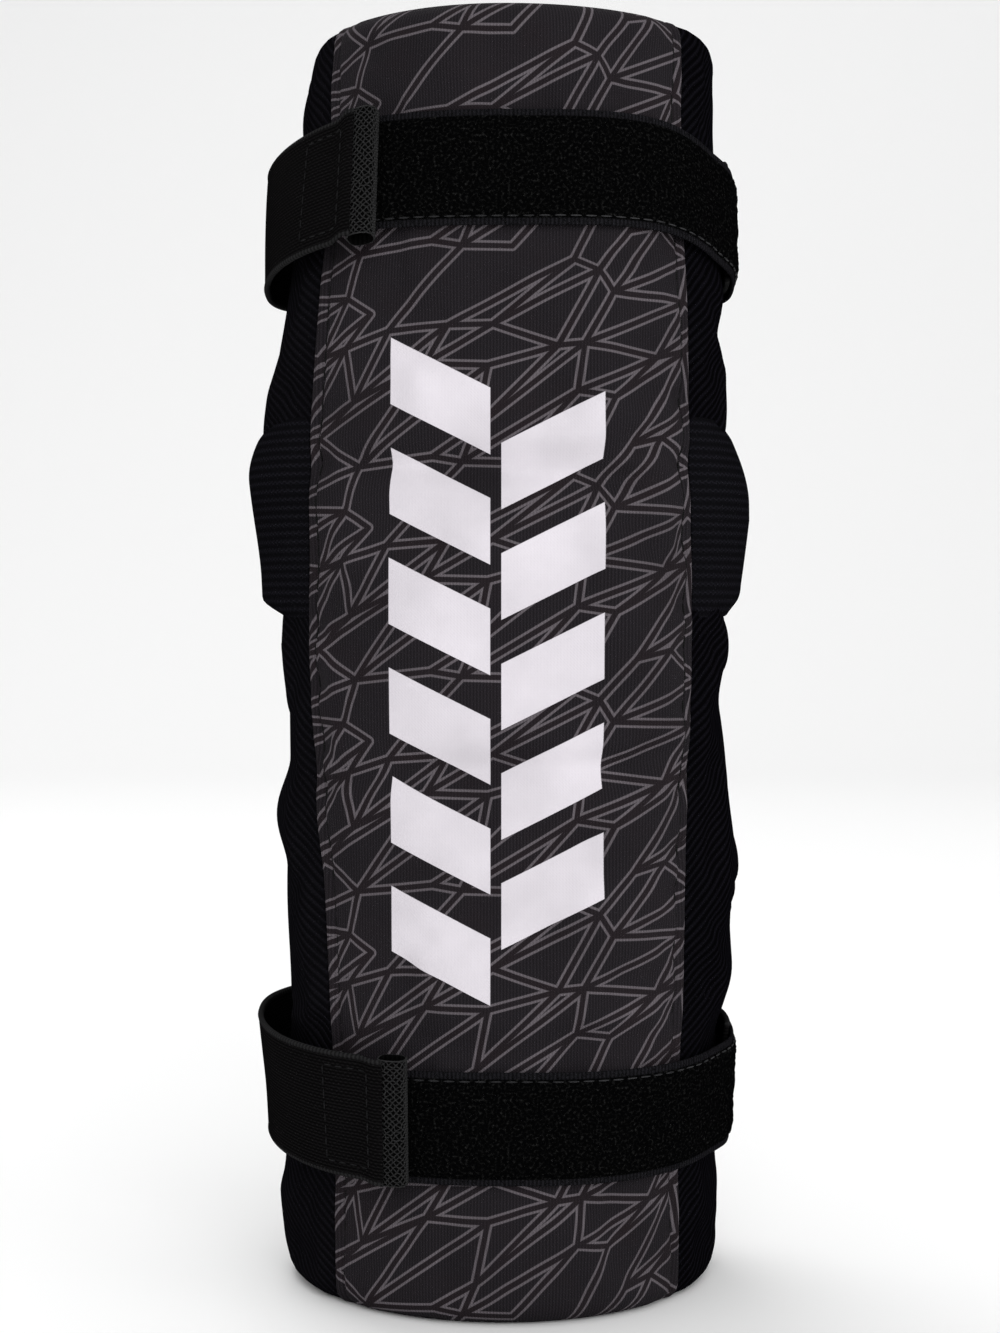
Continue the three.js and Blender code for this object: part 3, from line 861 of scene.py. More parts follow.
@dataclass(frozen=True)
class Cloth:
    """How one cloth looks. Lengths are millimetres."""

    name: str
    # deep is the colour down in the grooves and raised the colour on the ribs, threads and tufts; the lighter
    # raised colour is painted light and the darker deep colour painted shade, standing in for how light falls
    # on the knit.
    deep: Colour
    raised: Colour
    pitch: float
    across: tuple[float, float, float] = (1, 0, 0)
    relief: float = 0.25
    weave: float = 0.7
    weave_relief: float = 0.08
    knit: float = 0.5
    sharpness: float = 1
    roughness: float = 0.85
    specular: float = 0.0
    shade: float = 0.16
    lint: float = 0.06
    on_map: bool = True
    tufted: bool = False
    selvedge: float = 0
    selvedge_colour: Colour = (0.012, 0.012, 0.013)


LINE_INK: Colour = (0.119, 0.105, 0.116)
WHITE_INK: Colour = (0.58, 0.55, 0.588)
BAND_TINT: Colour = (0.0152, 0.0108, 0.0122)
LINT_COLOUR: Colour = (0.08, 0.08, 0.085)


class Dyer:
    """Makes every finish from the shared node groups."""

    def __init__(self) -> None:
        """Builds the groups once."""
        self.ribs = ribs_group()
        self.weave = weave_group()
        self.lint = lint_group()
        self.tufts = tufts_group()
        self.overlock = overlock_group()
        self.shards = ShardPrint().group()
        self.tread = TreadPrint().group()

    def start(self, cloth: Cloth) -> tuple[bpy.types.Material, Graph, bpy.types.Node, Socket]:
        """Starts a material.

        Args:
            cloth: The cloth.

        Returns:
            The material, its graph, its shader, and the surface's point in millimetres.
        """
        made = bpy.data.materials.new(cloth.name)
        made.use_nodes = True
        graph = Graph(made.node_tree)
        shader = made.node_tree.nodes["Principled BSDF"]
        shader.inputs["Specular IOR Level"].default_value = cloth.specular
        if cloth.on_map:
            source = graph.node("ShaderNodeUVMap", uv_map=CLOTH_MAP).outputs[0]
        else:
            source = graph.node("ShaderNodeTexCoord").outputs["Object"]
        return made, graph, shader, graph.vector("SCALE", source, scale=1 / MM).outputs[0]

    def finish(self, cloth: Cloth, printed: bool = False) -> bpy.types.Material:
        """Makes a cloth's finish.

        Args:
            cloth: The cloth.
            printed: Whether the shards and the white bars are printed on it.

        Returns:
            The material.
        """
        made, graph, shader, point = self.start(cloth)
        weave = graph.group(self.weave, Point=point, Pitch=cloth.weave).outputs[0]
        uneven = graph.group(self.lint, Point=point, Patch=GRAIN.dye_patch, Depth=cloth.shade)
        if cloth.tufted:
            relief = graph.group(self.tufts, Point=point, Size=cloth.pitch).outputs[0]
        else:
            ribs = graph.group(self.ribs, Point=point, Across=cloth.across, Pitch=cloth.pitch).outputs[0]
            broken = graph.math("MULTIPLY_ADD", weave, cloth.knit, 1 - cloth.knit)
            relief = graph.math("MULTIPLY", graph.math("POWER", ribs, cloth.sharpness), broken)
        # The relief paints the colour as well as the bump: painted shade in the grooves, painted light on the
        # raised ribs and tufts.
        colour = graph.blend(relief, cloth.deep, cloth.raised)
        rough: Value = cloth.roughness
        # The selvedge colour is the overlocked edges' own thread; on the elastic its lighter tone is partly a
        # painted highlight.
        if cloth.selvedge:
            edge = graph.group(self.overlock, Point=point, Start=cloth.selvedge)
            colour = graph.blend(edge.outputs["Edge"], colour, cloth.selvedge_colour)
        if printed:
            shards = graph.group(self.shards, Point=point)
            ink = graph.group(self.tread, Point=point).outputs[0]
            faded, mottled = (
                graph.group(self.lint, Point=point, Patch=patch, Depth=depth).outputs["Shade"]
                for patch, depth in (GRAIN.wear, GRAIN.tint)
            )
            knitted = graph.math("MULTIPLY_ADD", relief, GRAIN.wear_on_knit, 1 - GRAIN.wear_on_knit)
            worn = graph.math("MULTIPLY", shards.outputs["Line"], knitted)
            worn = graph.math("MULTIPLY", worn, graph.math("MINIMUM", faded, 1))
            warm = graph.math("MULTIPLY_ADD", mottled, GRAIN.tint_spread, -GRAIN.tint_spread)
            tinted = graph.math("MULTIPLY_ADD", shards.outputs["Band"], GRAIN.band_tint, warm, clamp=True)
            colour = graph.blend(tinted, colour, BAND_TINT)
            colour = graph.blend(worn, colour, LINE_INK)
            colour = graph.blend(ink, colour, WHITE_INK)
            rough = graph.math("MULTIPLY_ADD", ink, -GRAIN.ink_gloss, cloth.roughness)
            filled = graph.math("MULTIPLY_ADD", ink, -GRAIN.ink_fill, 1)
            relief = graph.math("MULTIPLY", relief, filled)
            weave = graph.math("MULTIPLY", weave, filled)
        lint = graph.math("MULTIPLY", uneven.outputs["Lint"], cloth.lint)
        colour = graph.blend(lint, colour, LINT_COLOUR)
        shaded = graph.vector("SCALE", colour, scale=uneven.outputs["Shade"]).outputs[0]
        settings: dict[str | int, Value] = {"Strength": 1.0, "Distance": cloth.relief * MM, "Height": relief}
        bump = graph.node("ShaderNodeBump", settings)
        settings = {"Strength": 1.0, "Distance": cloth.weave_relief * MM, "Height": weave}
        fine = graph.node("ShaderNodeBump", settings | {"Normal": bump.outputs[0]})
        graph.feed(shader.inputs["Base Color"], shaded)
        graph.feed(shader.inputs["Normal"], fine.outputs[0])
        graph.feed(shader.inputs["Roughness"], rough)
        return made


PRINTED_CLOTH = Cloth(
    "printed_cloth", (0.0099, 0.0087, 0.0102), (0.0198, 0.0171, 0.0201), 0.72, relief=0.07, lint=0.04,
    shade=0.22, specular=0.03,
)
# The two side panels are one ribbed mesh, mirrored; the right copy's darker colours are painted shade for the
# side that the light leaves darker.
LEFT_MESH = Cloth(
    "ribbed_mesh_left", (0.0025, 0.0024, 0.0029), (0.0074, 0.007, 0.009), 1.7, across=(0.64, 0.77, 0),
    relief=0.35, weave=1.15, sharpness=1.6,
)
RIGHT_MESH_PAINTED_SHADE = replace(
    LEFT_MESH, name="ribbed_mesh_right_painted_shade", deep=(0.0012, 0.0011, 0.0014), raised=(0.006, 0.0056, 0.0078),
    across=(-0.64, 0.77, 0),
)
WING_MESH = Cloth(
    "wing_mesh", (0.0033, 0.0032, 0.0039), (0.0115, 0.011, 0.0145), 1.9, across=(0, 1, 0), relief=0.35,
    weave=1.25, weave_relief=0.15, knit=0.85, sharpness=1.8,
)
STRETCH_CLOTH = Cloth(
    "stretch_cloth", (0.0022, 0.0022, 0.0026), (0.0085, 0.0085, 0.01), 0.9, relief=0.08, roughness=0.6,
    shade=0.22, specular=0.14,
)
LINING_CLOTH = Cloth(
    "lining_cloth", (0.004, 0.004, 0.005), (0.011, 0.011, 0.013), 1.2, across=(0, 0, 1), relief=0.1,
    on_map=False,
)
LOOP_PILE = Cloth(
    "loop_pile", (0.001, 0.001, 0.0011), (0.0145, 0.0145, 0.0143), 0.7, relief=0.5, weave=0.9,
    weave_relief=0.1, roughness=1, lint=0.02, tufted=True, selvedge=10.9,
    selvedge_colour=(0.0112, 0.0108, 0.0127),
)
# The elastic's lighter overlocked edges are partly the real overlock thread and partly a painted highlight
# along its edges.
ELASTIC_WEAVE = Cloth(
    "elastic_weave", (0.0022, 0.0021, 0.0022), (0.0098, 0.0093, 0.0096), 0.75, across=(0, 1, 0),
    relief=0.12, weave=1.1, weave_relief=0.08, knit=0.85, sharpness=1.3, shade=0.3, selvedge=12.9,
    selvedge_colour=(0.02, 0.02, 0.0205),
)
HOOK_TAPE = Cloth("hook_tape", (0.001, 0.001, 0.001), (0.006, 0.006, 0.006), 1.1, relief=0.4, roughness=0.6)
TAB_TAPE = Cloth(
    "tab_tape", (0.0012, 0.0012, 0.0012), (0.0032, 0.0032, 0.0032), 1, relief=0.1, on_map=False
)
NET_CORD = Cloth(
    "net_cord", (0.008, 0.008, 0.0082), (0.0225, 0.0225, 0.023), 0.6, across=(0, 0, 1), relief=0.06,
    on_map=False, specular=0.2,
)
THREAD = Cloth(
    "thread", (0.004, 0.004, 0.0044), (0.013, 0.013, 0.014), 0.5, across=(0, 0, 1), relief=0.05,
    on_map=False, specular=0.1,
)
PRINT_THREAD = replace(THREAD, name="hem_thread", deep=(0.002, 0.002, 0.002), raised=(0.009, 0.009, 0.009))
PILE_THREAD = replace(THREAD, name="pile_thread", deep=(0.012, 0.012, 0.013), raised=(0.045, 0.045, 0.047))


# The pad's pieces


@dataclass
class PaddedPanel:
    """A padded panel from rim to rim, between two seams."""

    dyer: Dyer
    name: str
    cell: float = 1.3
    shrink: float = 1.1
    seam_dip: float = 0.9
    seam_reach: float = 7
    seam_round: float = 0.7
    seam_grading: float = 1.5
    filling: Filling = Filling()
    risen: Array | None = None
    pressed_reach: float = 15
    pressed_fade: float = 9
    pressed_in: float = 0.35
    thread_inset: float = 2.5
    thread_points: int = 150

    def seams(self, heights: Array) -> tuple[Array, Array]:
        """The angles of the two seams at some heights, the lesser one first."""
        raise NotImplementedError

    def relief(self, low: Array, high: Array, height: Array) -> Array:
        """How far the cover stands off the plain face, by the distances from both seams."""
        near = np.minimum(low, high)
        return -self.seam_dip * hump(near, self.seam_reach) - rounded(near, self.seam_round)

    def press(self, rise: Array, heights: Array) -> Array:
        """Holds the swollen cover down where the straps cross it."""
        far = np.min([np.abs(heights - at) for at in STRAPS_AT], axis=0)[:, None]
        held = 1 - ease(far, self.pressed_reach, self.pressed_reach + self.pressed_fade)
        return rise + (np.minimum(rise, 0) - self.pressed_in - rise) * held

    def out(self, share: Array, heights: Array) -> tuple[Array, Array, Array]:
        """The outer face.

        Args:
            share: Shares across the panel, one row for each height.
            heights: The heights.

        Returns:
            The angles, how far round they lie, and how far out the face is.
        """
        start, stop = (edge[:, None] for edge in self.seams(heights))
        angle = start + (stop - start) * share
        arc = SLEEVE.arcs(angle, heights)
        first, last = SLEEVE.arcs(start, heights), SLEEVE.arcs(stop, heights)
        level = np.broadcast_to(heights[:, None], angle.shape)
        out = SLEEVE.swelling(angle, level) + self.relief(arc - first, last - arc, level)
        if self.risen is not None:
            across = np.linspace(0, 1, self.risen.shape[1])
            known = np.linspace(0, SLEEVE.length, len(self.risen))
            rows = SmoothTable(np.column_stack([known, self.risen])).at(heights)
            risen = [
                SmoothTable(np.column_stack([across, row])).at(place)[..., 0]
                for row, place in zip(rows, share, strict=True)
            ]
            slack = self.shrink * np.sin(np.pi * np.clip(share, 0, 1)) ** 0.5
            out = out + self.press(np.array(risen) - slack, heights)
        return angle, arc, out

    def faces(self, across: Array, heights: Array) -> tuple[Array, Array, Array, Array]:
        """The panel's outer and inner points, how far round they lie, and their normals."""
        share = np.tile(across, (len(heights), 1))
        angle, arc, out = self.out(share, heights)
        level = np.broadcast_to(heights[:, None], angle.shape)
        wall = SLEEVE.wall(angle)
        rim = SLEEVE.rim(level, wall)
        outer = SLEEVE.point(angle, level, out - rim)
        inner = SLEEVE.point(angle, level, rim - wall)
        return outer, inner, arc, SLEEVE.normal(angle, level)

    def build(self) -> bpy.types.Object:
        """Swells the cover by simulation, then lays the finely faceted panel."""
        middle = np.array([SLEEVE.length / 2])
        edges = SLEEVE.arcs(np.column_stack(self.seams(middle)), middle)[0]
        width = edges[1] - edges[0]
        across = np.linspace(0, 1, round(width / self.filling.cell) + 1)
        heights = np.linspace(0, SLEEVE.length, round(SLEEVE.length / self.filling.cell) + 1)
        outer, inner, _, normal = self.faces(across, heights)
        self.risen = self.filling.swell(outer, inner, normal)
        LOG.info("%s: the cover has risen %.2f mm on average", self.name, self.risen.mean())
        across = graded(width, self.cell, self.seam_grading)
        heights = graded(SLEEVE.length, self.cell, SLEEVE.rim_radius) * SLEEVE.length
        outer, inner, arc, _ = self.faces(across, heights)
        level = np.broadcast_to(heights[:, None], arc.shape)
        made = Slab(outer, inner).made(self.name, arc, level)
        return made

    def seam_path(self, side: Side, inset: float, lift: float) -> tuple[Array, Array]:
        """A line of points a little way in from a seam, and their normals."""
        heights = np.linspace(self.thread_inset, SLEEVE.length - self.thread_inset, self.thread_points)
        start, stop = self.seams(heights)
        seam = start if side is Side.LEFT else stop
        inside = SLEEVE.angles(SLEEVE.arcs(seam[:, None], heights) - side * inset, heights)
        share = (inside - start[:, None]) / (stop - start)[:, None]
        angle, _, out = self.out(share, heights)
        level = heights[:, None]
        rim = SLEEVE.rim(level, SLEEVE.wall(angle))
        points = SLEEVE.point(angle, level, out - rim + lift)
        return points[:, 0], SLEEVE.normal(angle, level)[:, 0]


@dataclass
class FrontPanel(PaddedPanel):
    """The printed panel, with a folded and topstitched hem along both edges."""

    hem: float = 3
    hem_lift: float = 0.55
    hem_round: float = 0.9
    hem_fade: float = 4
    groove: float = 1.0
    groove_width: float = 0.75
    thread_lift: float = 0.12
    crease_fade: float = 14
    # height, reach, depth, slope
    creases: tuple[tuple[float, float, float, float], ...] = (
        (188, 2.2, 0.9, -0.06),
        (181, 3, 0.35, 0.1),
        (123, 2.6, 0.5, 0.05),
        (236, 3, 0.3, -0.04),
        (62, 3.5, 0.3, 0.06),
    )

    def seams(self, heights: Array) -> tuple[Array, Array]:
        """The panel's own two edges."""
        return SLEEVE.panel_edge(heights, Side.LEFT), SLEEVE.panel_edge(heights, Side.RIGHT)

    def relief(self, low: Array, high: Array, height: Array) -> Array:
        """The hem, its stitched groove, and the creases across the panel."""
        near = np.minimum(low, high)
        groove = self.groove * np.exp(-(((near - self.hem) / self.groove_width) ** 2))
        hem = self.hem_lift - rounded(near, self.hem_round) - groove
        inside = -self.seam_dip * hump(np.maximum(near - self.hem, 0), self.seam_reach)
        proud = self.hem_lift * ease(near, self.hem, self.hem + self.hem_fade)
        across = np.clip(near / self.crease_fade, 0, 1)
        folds = sum(
            -depth * np.exp(-(((height - at - slope * (low - high) / 2) / reach) ** 2))
            for at, reach, depth, slope in self.creases
        )
        return hem + inside - proud + folds * across

    def make(self) -> None:
        """Builds and dresses the panel and sews its hems."""
        made = self.build()
        hand_in(made, Slot.PRINTED, self.dyer.finish(PRINTED_CLOTH, printed=True), self.name)
        thread = Stitches("front_panel_stitches", pitch=3.6, length=2.9, radius=0.32)
        for side in Side:
            thread.sew(*self.seam_path(side, self.hem, self.thread_lift))
        thread.finish_off(Slot.PRINTED, self.dyer.finish(PRINT_THREAD))


@dataclass
class SidePanel(PaddedPanel):
    """A ribbed mesh panel, from the front panel's edge to the back seam."""

    side: Side = Side.LEFT
    stitch_inset: float = 2
    stitch_lift: float = 0.06

    def seams(self, heights: Array) -> tuple[Array, Array]:
        """From the front panel's edge to the back seam, on this side."""
        edge = SLEEVE.panel_edge(heights, self.side)
        near = edge + self.side * SLEEVE.span(SLEEVE.gap, edge, heights)
        back = np.full_like(edge, SLEEVE.back_seam)
        far = self.side * (back - SLEEVE.span(SLEEVE.gap, back, heights))
        return (far, near) if self.side is Side.LEFT else (near, far)

    def make(self) -> None:
        """Builds and dresses the panel and sews its back seam."""
        made = self.build()
        # The right panel's darker copy of the mesh is painted shade.
        mesh = LEFT_MESH if self.side is Side.LEFT else RIGHT_MESH_PAINTED_SHADE
        hand_in(made, Slot.MESH, self.dyer.finish(mesh), self.name)
        thread = Stitches(f"{self.name}_stitches", pitch=3.2, length=2.5, radius=0.2)
        thread.sew(*self.seam_path(self.side, self.stitch_inset, self.stitch_lift))
        thread.finish_off(Slot.MESH, self.dyer.finish(THREAD))


@dataclass
class BackPanel:
    """The thin stretch panel that closes the back."""

    dyer: Dyer
    name: str = "back_panel"
    cell: float = 1.8
    edge: float = 1.2
    seam_round: float = 0.6
    ripple: float = 1.25
    ripple_reach: float = 6.5
    ripple_bend: float = 1.3
    bend_reach: float = 31
    fade_reach: float = 23
    strap_reach: tuple[float, float] = (13, 24)

    def ripples(self, angle: Array, height: Array) -> Array:
        """Shallow creases that run in between the straps."""
        turned = np.radians(angle)
        bend = self.ripple_bend * np.sin(2 * turned) + np.sin(height / self.bend_reach)
        wave = np.sin(height / self.ripple_reach + bend)
        slow = np.sin(height / self.fade_reach + 3 * turned)
        free = ease(np.min([np.abs(height - at) for at in STRAPS_AT], axis=0), *self.strap_reach)
        share = (angle - SLEEVE.back_seam) / (FULL_TURN - 2 * SLEEVE.back_seam)
        return self.ripple * free * wave * slow * np.sin(np.pi * share) ** 2

    def make(self) -> None:
        """Builds and dresses the panel."""
        middle = np.array([SLEEVE.length / 2])
        start, stop = SLEEVE.back_seam, FULL_TURN - SLEEVE.back_seam
        edges = SLEEVE.arcs(np.array([[start, stop]]), middle)[0]
        width = float(edges[1] - edges[0])
        across = start + (stop - start) * graded(width, self.cell, self.edge)
        heights = graded(SLEEVE.length, self.cell, self.edge) * SLEEVE.length
        angle = np.tile(across, (len(heights), 1))
        level = np.broadcast_to(heights[:, None], angle.shape)
        arc = SLEEVE.arcs(angle, heights)
        near = np.minimum(arc - arc[:, :1], arc[:, -1:] - arc)
        wall = SLEEVE.wall(angle)
        rim = SLEEVE.rim(level, wall)
        swollen = SLEEVE.swelling(angle, level)
        out = swollen + self.ripples(angle, level) - rim - rounded(near, self.seam_round)
        outer = SLEEVE.point(angle, level, out)
        inner = SLEEVE.point(angle, level, swollen + rim - wall)
        made = Slab(outer, inner).made(self.name, arc, level)
        hand_in(made, Slot.STRETCH, self.dyer.finish(STRETCH_CLOTH), self.name)


@dataclass
class Lining:
    """The thin cloth tube inside."""

    dyer: Dyer
    name: str = "sleeve_lining"
    columns: int = 120
    rows: int = 90
    edge: float = 0.6
    pucker: float = 0.12
    pucker_reach: float = 7
    pucker_count: int = 6

    def make(self) -> None:
        """Builds and dresses the tube."""
        angles = np.linspace(0, FULL_TURN, self.columns + 1)
        low, high = SLEEVE.lining_inset, SLEEVE.length - SLEEVE.lining_inset
        heights = low + (high - low) * graded(high - low, (high - low) / self.rows, self.edge)
        angle, level = np.meshgrid(angles, heights)
        waves = np.sin(level / self.pucker_reach) * np.sin(np.radians(angle) * self.pucker_count)
        edge = rounded(np.minimum(level - low, high - level), SLEEVE.lining_cloth / 2)
        out = -SLEEVE.wall(angle) - SLEEVE.lining_gap
        outer = SLEEVE.point(angle, level, out - edge)
        inner = SLEEVE.point(angle, level, out - SLEEVE.lining_cloth + edge + self.pucker * waves)
        made = Slab(outer, inner).close_ring().made(self.name)
        hand_in(made, Slot.LINING, self.dyer.finish(LINING_CLOTH), self.name)


@dataclass
class Wing:
    """The raised pad over one side of the elbow."""

    dyer: Dyer
    side: Side
    pad_share: float
    foot_pad: float
    top_slope: float
    foot_slope: float
    at: float = 0.615
    height: float = 45
    pad: float = 5.2
    end: float = 112
    front_slope: float = 20
    back_slope: float = 14
    edge: float = 0.02
    edge_round: float = 0.3
    sunk: float = 0.35
    cell: float = 0.9
    width: float = 50
    grading: float = 1
    crown: float = 0.5
    back_taper: float = 0.24
    front_dip: float = 1.3
    front_reach: float = 6
    end_dip: float = 0.75
    end_reach: float = 4

    @property
    def name(self) -> str:
        """The piece's name."""
        return f"elbow_wing_{self.side.name.lower()}"

    def thickness(self, turned: Array, up: Array, front: Array) -> Array:
        """The pad's thickness over the panel."""
        upwards = np.clip(np.minimum(up / self.foot_slope, (1 - up) / self.top_slope), 0, 1)
        around = np.minimum((turned - front) / self.front_slope, (self.end - turned) / self.back_slope)
        around = np.clip(around, 0, 1)
        full = np.sin(upwards * np.pi / 2) * np.sin(around * np.pi / 2)
        share = self.foot_pad + (1 - self.foot_pad) * np.minimum(2 * up, 1)
        crowned = self.crown * np.sin(np.pi * up) * full
        return self.pad * self.pad_share * share * (self.edge + (1 - self.edge) * full) + crowned

    def place(self, share: Array, up: Array) -> tuple[Array, Array, Array, Array, Array]:
        """Lays the wing out.

        Args:
            share: Shares across, one row for each share up.
            up: Shares up, in one column.

        Returns:
            The angles, the heights, how far out the foot and the top are, and how far round each lies.
        """
        foot = self.at * SLEEVE.length - self.height / 2
        heights = foot + up[:, 0] * self.height
        seam = np.abs(SLEEVE.panel_edge(heights, self.side))
        front = (seam + SLEEVE.span(SLEEVE.gap, seam, heights))[:, None]
        turned = front + (self.end - front) * (1 - share if self.side is Side.LEFT else share)
        narrowed = 1 - self.back_taper * ((turned - front) / (self.end - front)) ** 3
        level = foot + self.height * (0.5 + (up - 0.5) * narrowed)
        thick = self.thickness(turned, np.broadcast_to(up, turned.shape), front)
        near_up = np.minimum(up, 1 - up) * self.height
        arc = SLEEVE.arcs(self.side * turned, heights)
        ends = (np.abs(arc - arc[:, :1]), np.abs(arc - arc[:, -1:]))
        near_front = ends[1] if self.side is Side.LEFT else ends[0]
        near = np.minimum(near_up, np.minimum(*ends))
        dip = self.front_dip * hump(near_front, self.front_reach)
        dip = dip + self.end_dip * hump(near_up, self.end_reach)
        base = SLEEVE.swelling(self.side * turned, level) + SLEEVE.laid_gap - dip
        return self.side * turned, level, base, base + thick - rounded(near, self.edge_round), arc

    def make(self) -> None:
        """Builds and dresses the wing."""
        share = graded(self.width, self.cell, self.grading)
        up = graded(self.height, self.cell, self.grading)[:, None]
        angle, level, base, top, arc = self.place(np.tile(share, (len(up), 1)), up)
        outer = SLEEVE.point(angle, level, top)
        inner = SLEEVE.point(angle, level, base - self.sunk)
        made = Slab(outer, inner).made(self.name, arc, level)
        hand_in(made, Slot.MESH, self.dyer.finish(WING_MESH), self.name)


@dataclass(frozen=True)
class StrapCourse:
    """How one strap runs round the sleeve."""

    label: str
    height: float
    offset: float
    drop: float
    lean: float
    tab_end: float
    left_sag: float = 0
    right_sag: float = 0
    fold_shift: float = 0
    left_sag_at: float = 283
    left_sag_reach: float = 75
    right_sag_at: float = 95
    right_sag_reach: float = 60
    loop_width: float = 25
    pile: float = 1.6
    elastic_width: float = 28
    elastic: float = 1.3
    hook: float = 1
    tab_length: float = 6
    tab_pad: float = 3.6
    # angle, drop, lift, lean
    elastic_table: SmoothTable = field(
        default_factory=lambda: SmoothTable(
            (
                (78, 0.4, 0, 0), (112, 0.5, 0, 0), (150, 0.78, 0, 0), (180, 0.96, 0, 0), (205, 1, 0.3, 0.1),
                (232, 0.96, 0.95, 0.6), (258, 0.84, 1.15, 1), (278, 0.62, 1.15, 1), (300, 0.27, 1.05, 0.5),
                (315, 0.08, 1, 0.1), (330, 0, 1, 0), (345, 0, 1, 0),
            )
        )
    )
    # angle, drop, climb
    loop_table: SmoothTable = field(
        default_factory=lambda: SmoothTable(
            ((-50, 0, 0), (0, 0, 0), (42, 0, 0), (62, 0.3, 0), (74, 0.5, 1), (90, 0.68, 1), (112, 0.8, 1))
        )
    )

    @property
    def on_loop(self) -> float:
        """From the sleeve to what lies on the loop strip."""
        return SLEEVE.laid_gap + self.pile + SLEEVE.gap

    @property
    def on_hook(self) -> float:
        """From the sleeve to what lies on the hook patch."""
        return self.on_loop + self.hook + SLEEVE.gap

    @property
    def tab_start(self) -> float:
        """Where the folded tab begins, in degrees."""
        far = np.array([[-(self.tab_end + self.tab_length)]])
        return FULL_TURN + float(SLEEVE.angles(far, np.array([self.height]))[0, 0])

    def turn(self, length: float, angle: float) -> float:
        """The angle that a length along the strap spans."""
        return float(SLEEVE.span(length, np.array(angle), np.array(self.height)))

    @property
    def elastic_end(self) -> float:
        """Where the elastic stops, just before the tab."""
        return self.tab_start - self.turn(SLEEVE.gap, self.tab_start)

    def sag(self, angle: Array) -> Array:
        """How far the strap hangs down on the two sides."""
        left = self.left_sag * hump(angle - self.left_sag_at, self.left_sag_reach)
        return left + self.right_sag * hump(angle - self.right_sag_at, self.right_sag_reach)

    def band(self, angle: Array, v: Array, width: float, middle: Array, out: Array) -> tuple[Array, Array]:
        """Points of a band, and their normals."""
        height = middle - self.sag(angle) + v * width
        points = SLEEVE.point(angle, height, SLEEVE.swelling(angle, height) + out)
        return points, SLEEVE.normal(angle, height)

    def elastic_band(self, angle: Array, v: Array, width: float, above: Array | float) -> tuple[Array, Array]:
        """Points on or near the elastic, and their normals."""
        drop, lift, lean = np.moveaxis(self.elastic_table.at(angle), -1, 0)
        middle = self.height + self.offset - self.drop * drop
        out = SLEEVE.laid_gap + np.maximum(0, lift) * (self.on_hook - SLEEVE.laid_gap)
        out = out + np.maximum(0, lean) * self.lean * v * width / self.elastic_width
        return self.band(angle, v, width, middle, out + above)

    def loop_band(self, angle: Array, v: Array, above: Array | float) -> tuple[Array, Array]:
        """Points on or near the loop strip, and their normals."""
        drop, climb = np.moveaxis(self.loop_table.at(angle), -1, 0)
        out = SLEEVE.laid_gap + np.clip(climb, 0, 1) * (self.elastic + SLEEVE.gap)
        return self.band(angle, v, self.loop_width, self.height - self.drop * drop, out + above)

    def length(self, start: float, stop: float) -> float:
        """How long a strap is between two angles, in millimetres."""
        arcs = SLEEVE.arcs(np.array([[start, stop]]), np.array([self.height]))[0]
        return float(arcs[1] - arcs[0])


UPPER_COURSE = StrapCourse(
    "upper", STRAPS_AT[1], offset=0.5, drop=8, lean=1.5, tab_end=27, left_sag=3.2, right_sag=3.2, fold_shift=1
)
LOWER_COURSE = StrapCourse(
    "lower", STRAPS_AT[0], offset=1.8, drop=-4.5, lean=3, tab_end=20.4, right_sag=1.2, fold_shift=-0.4
)


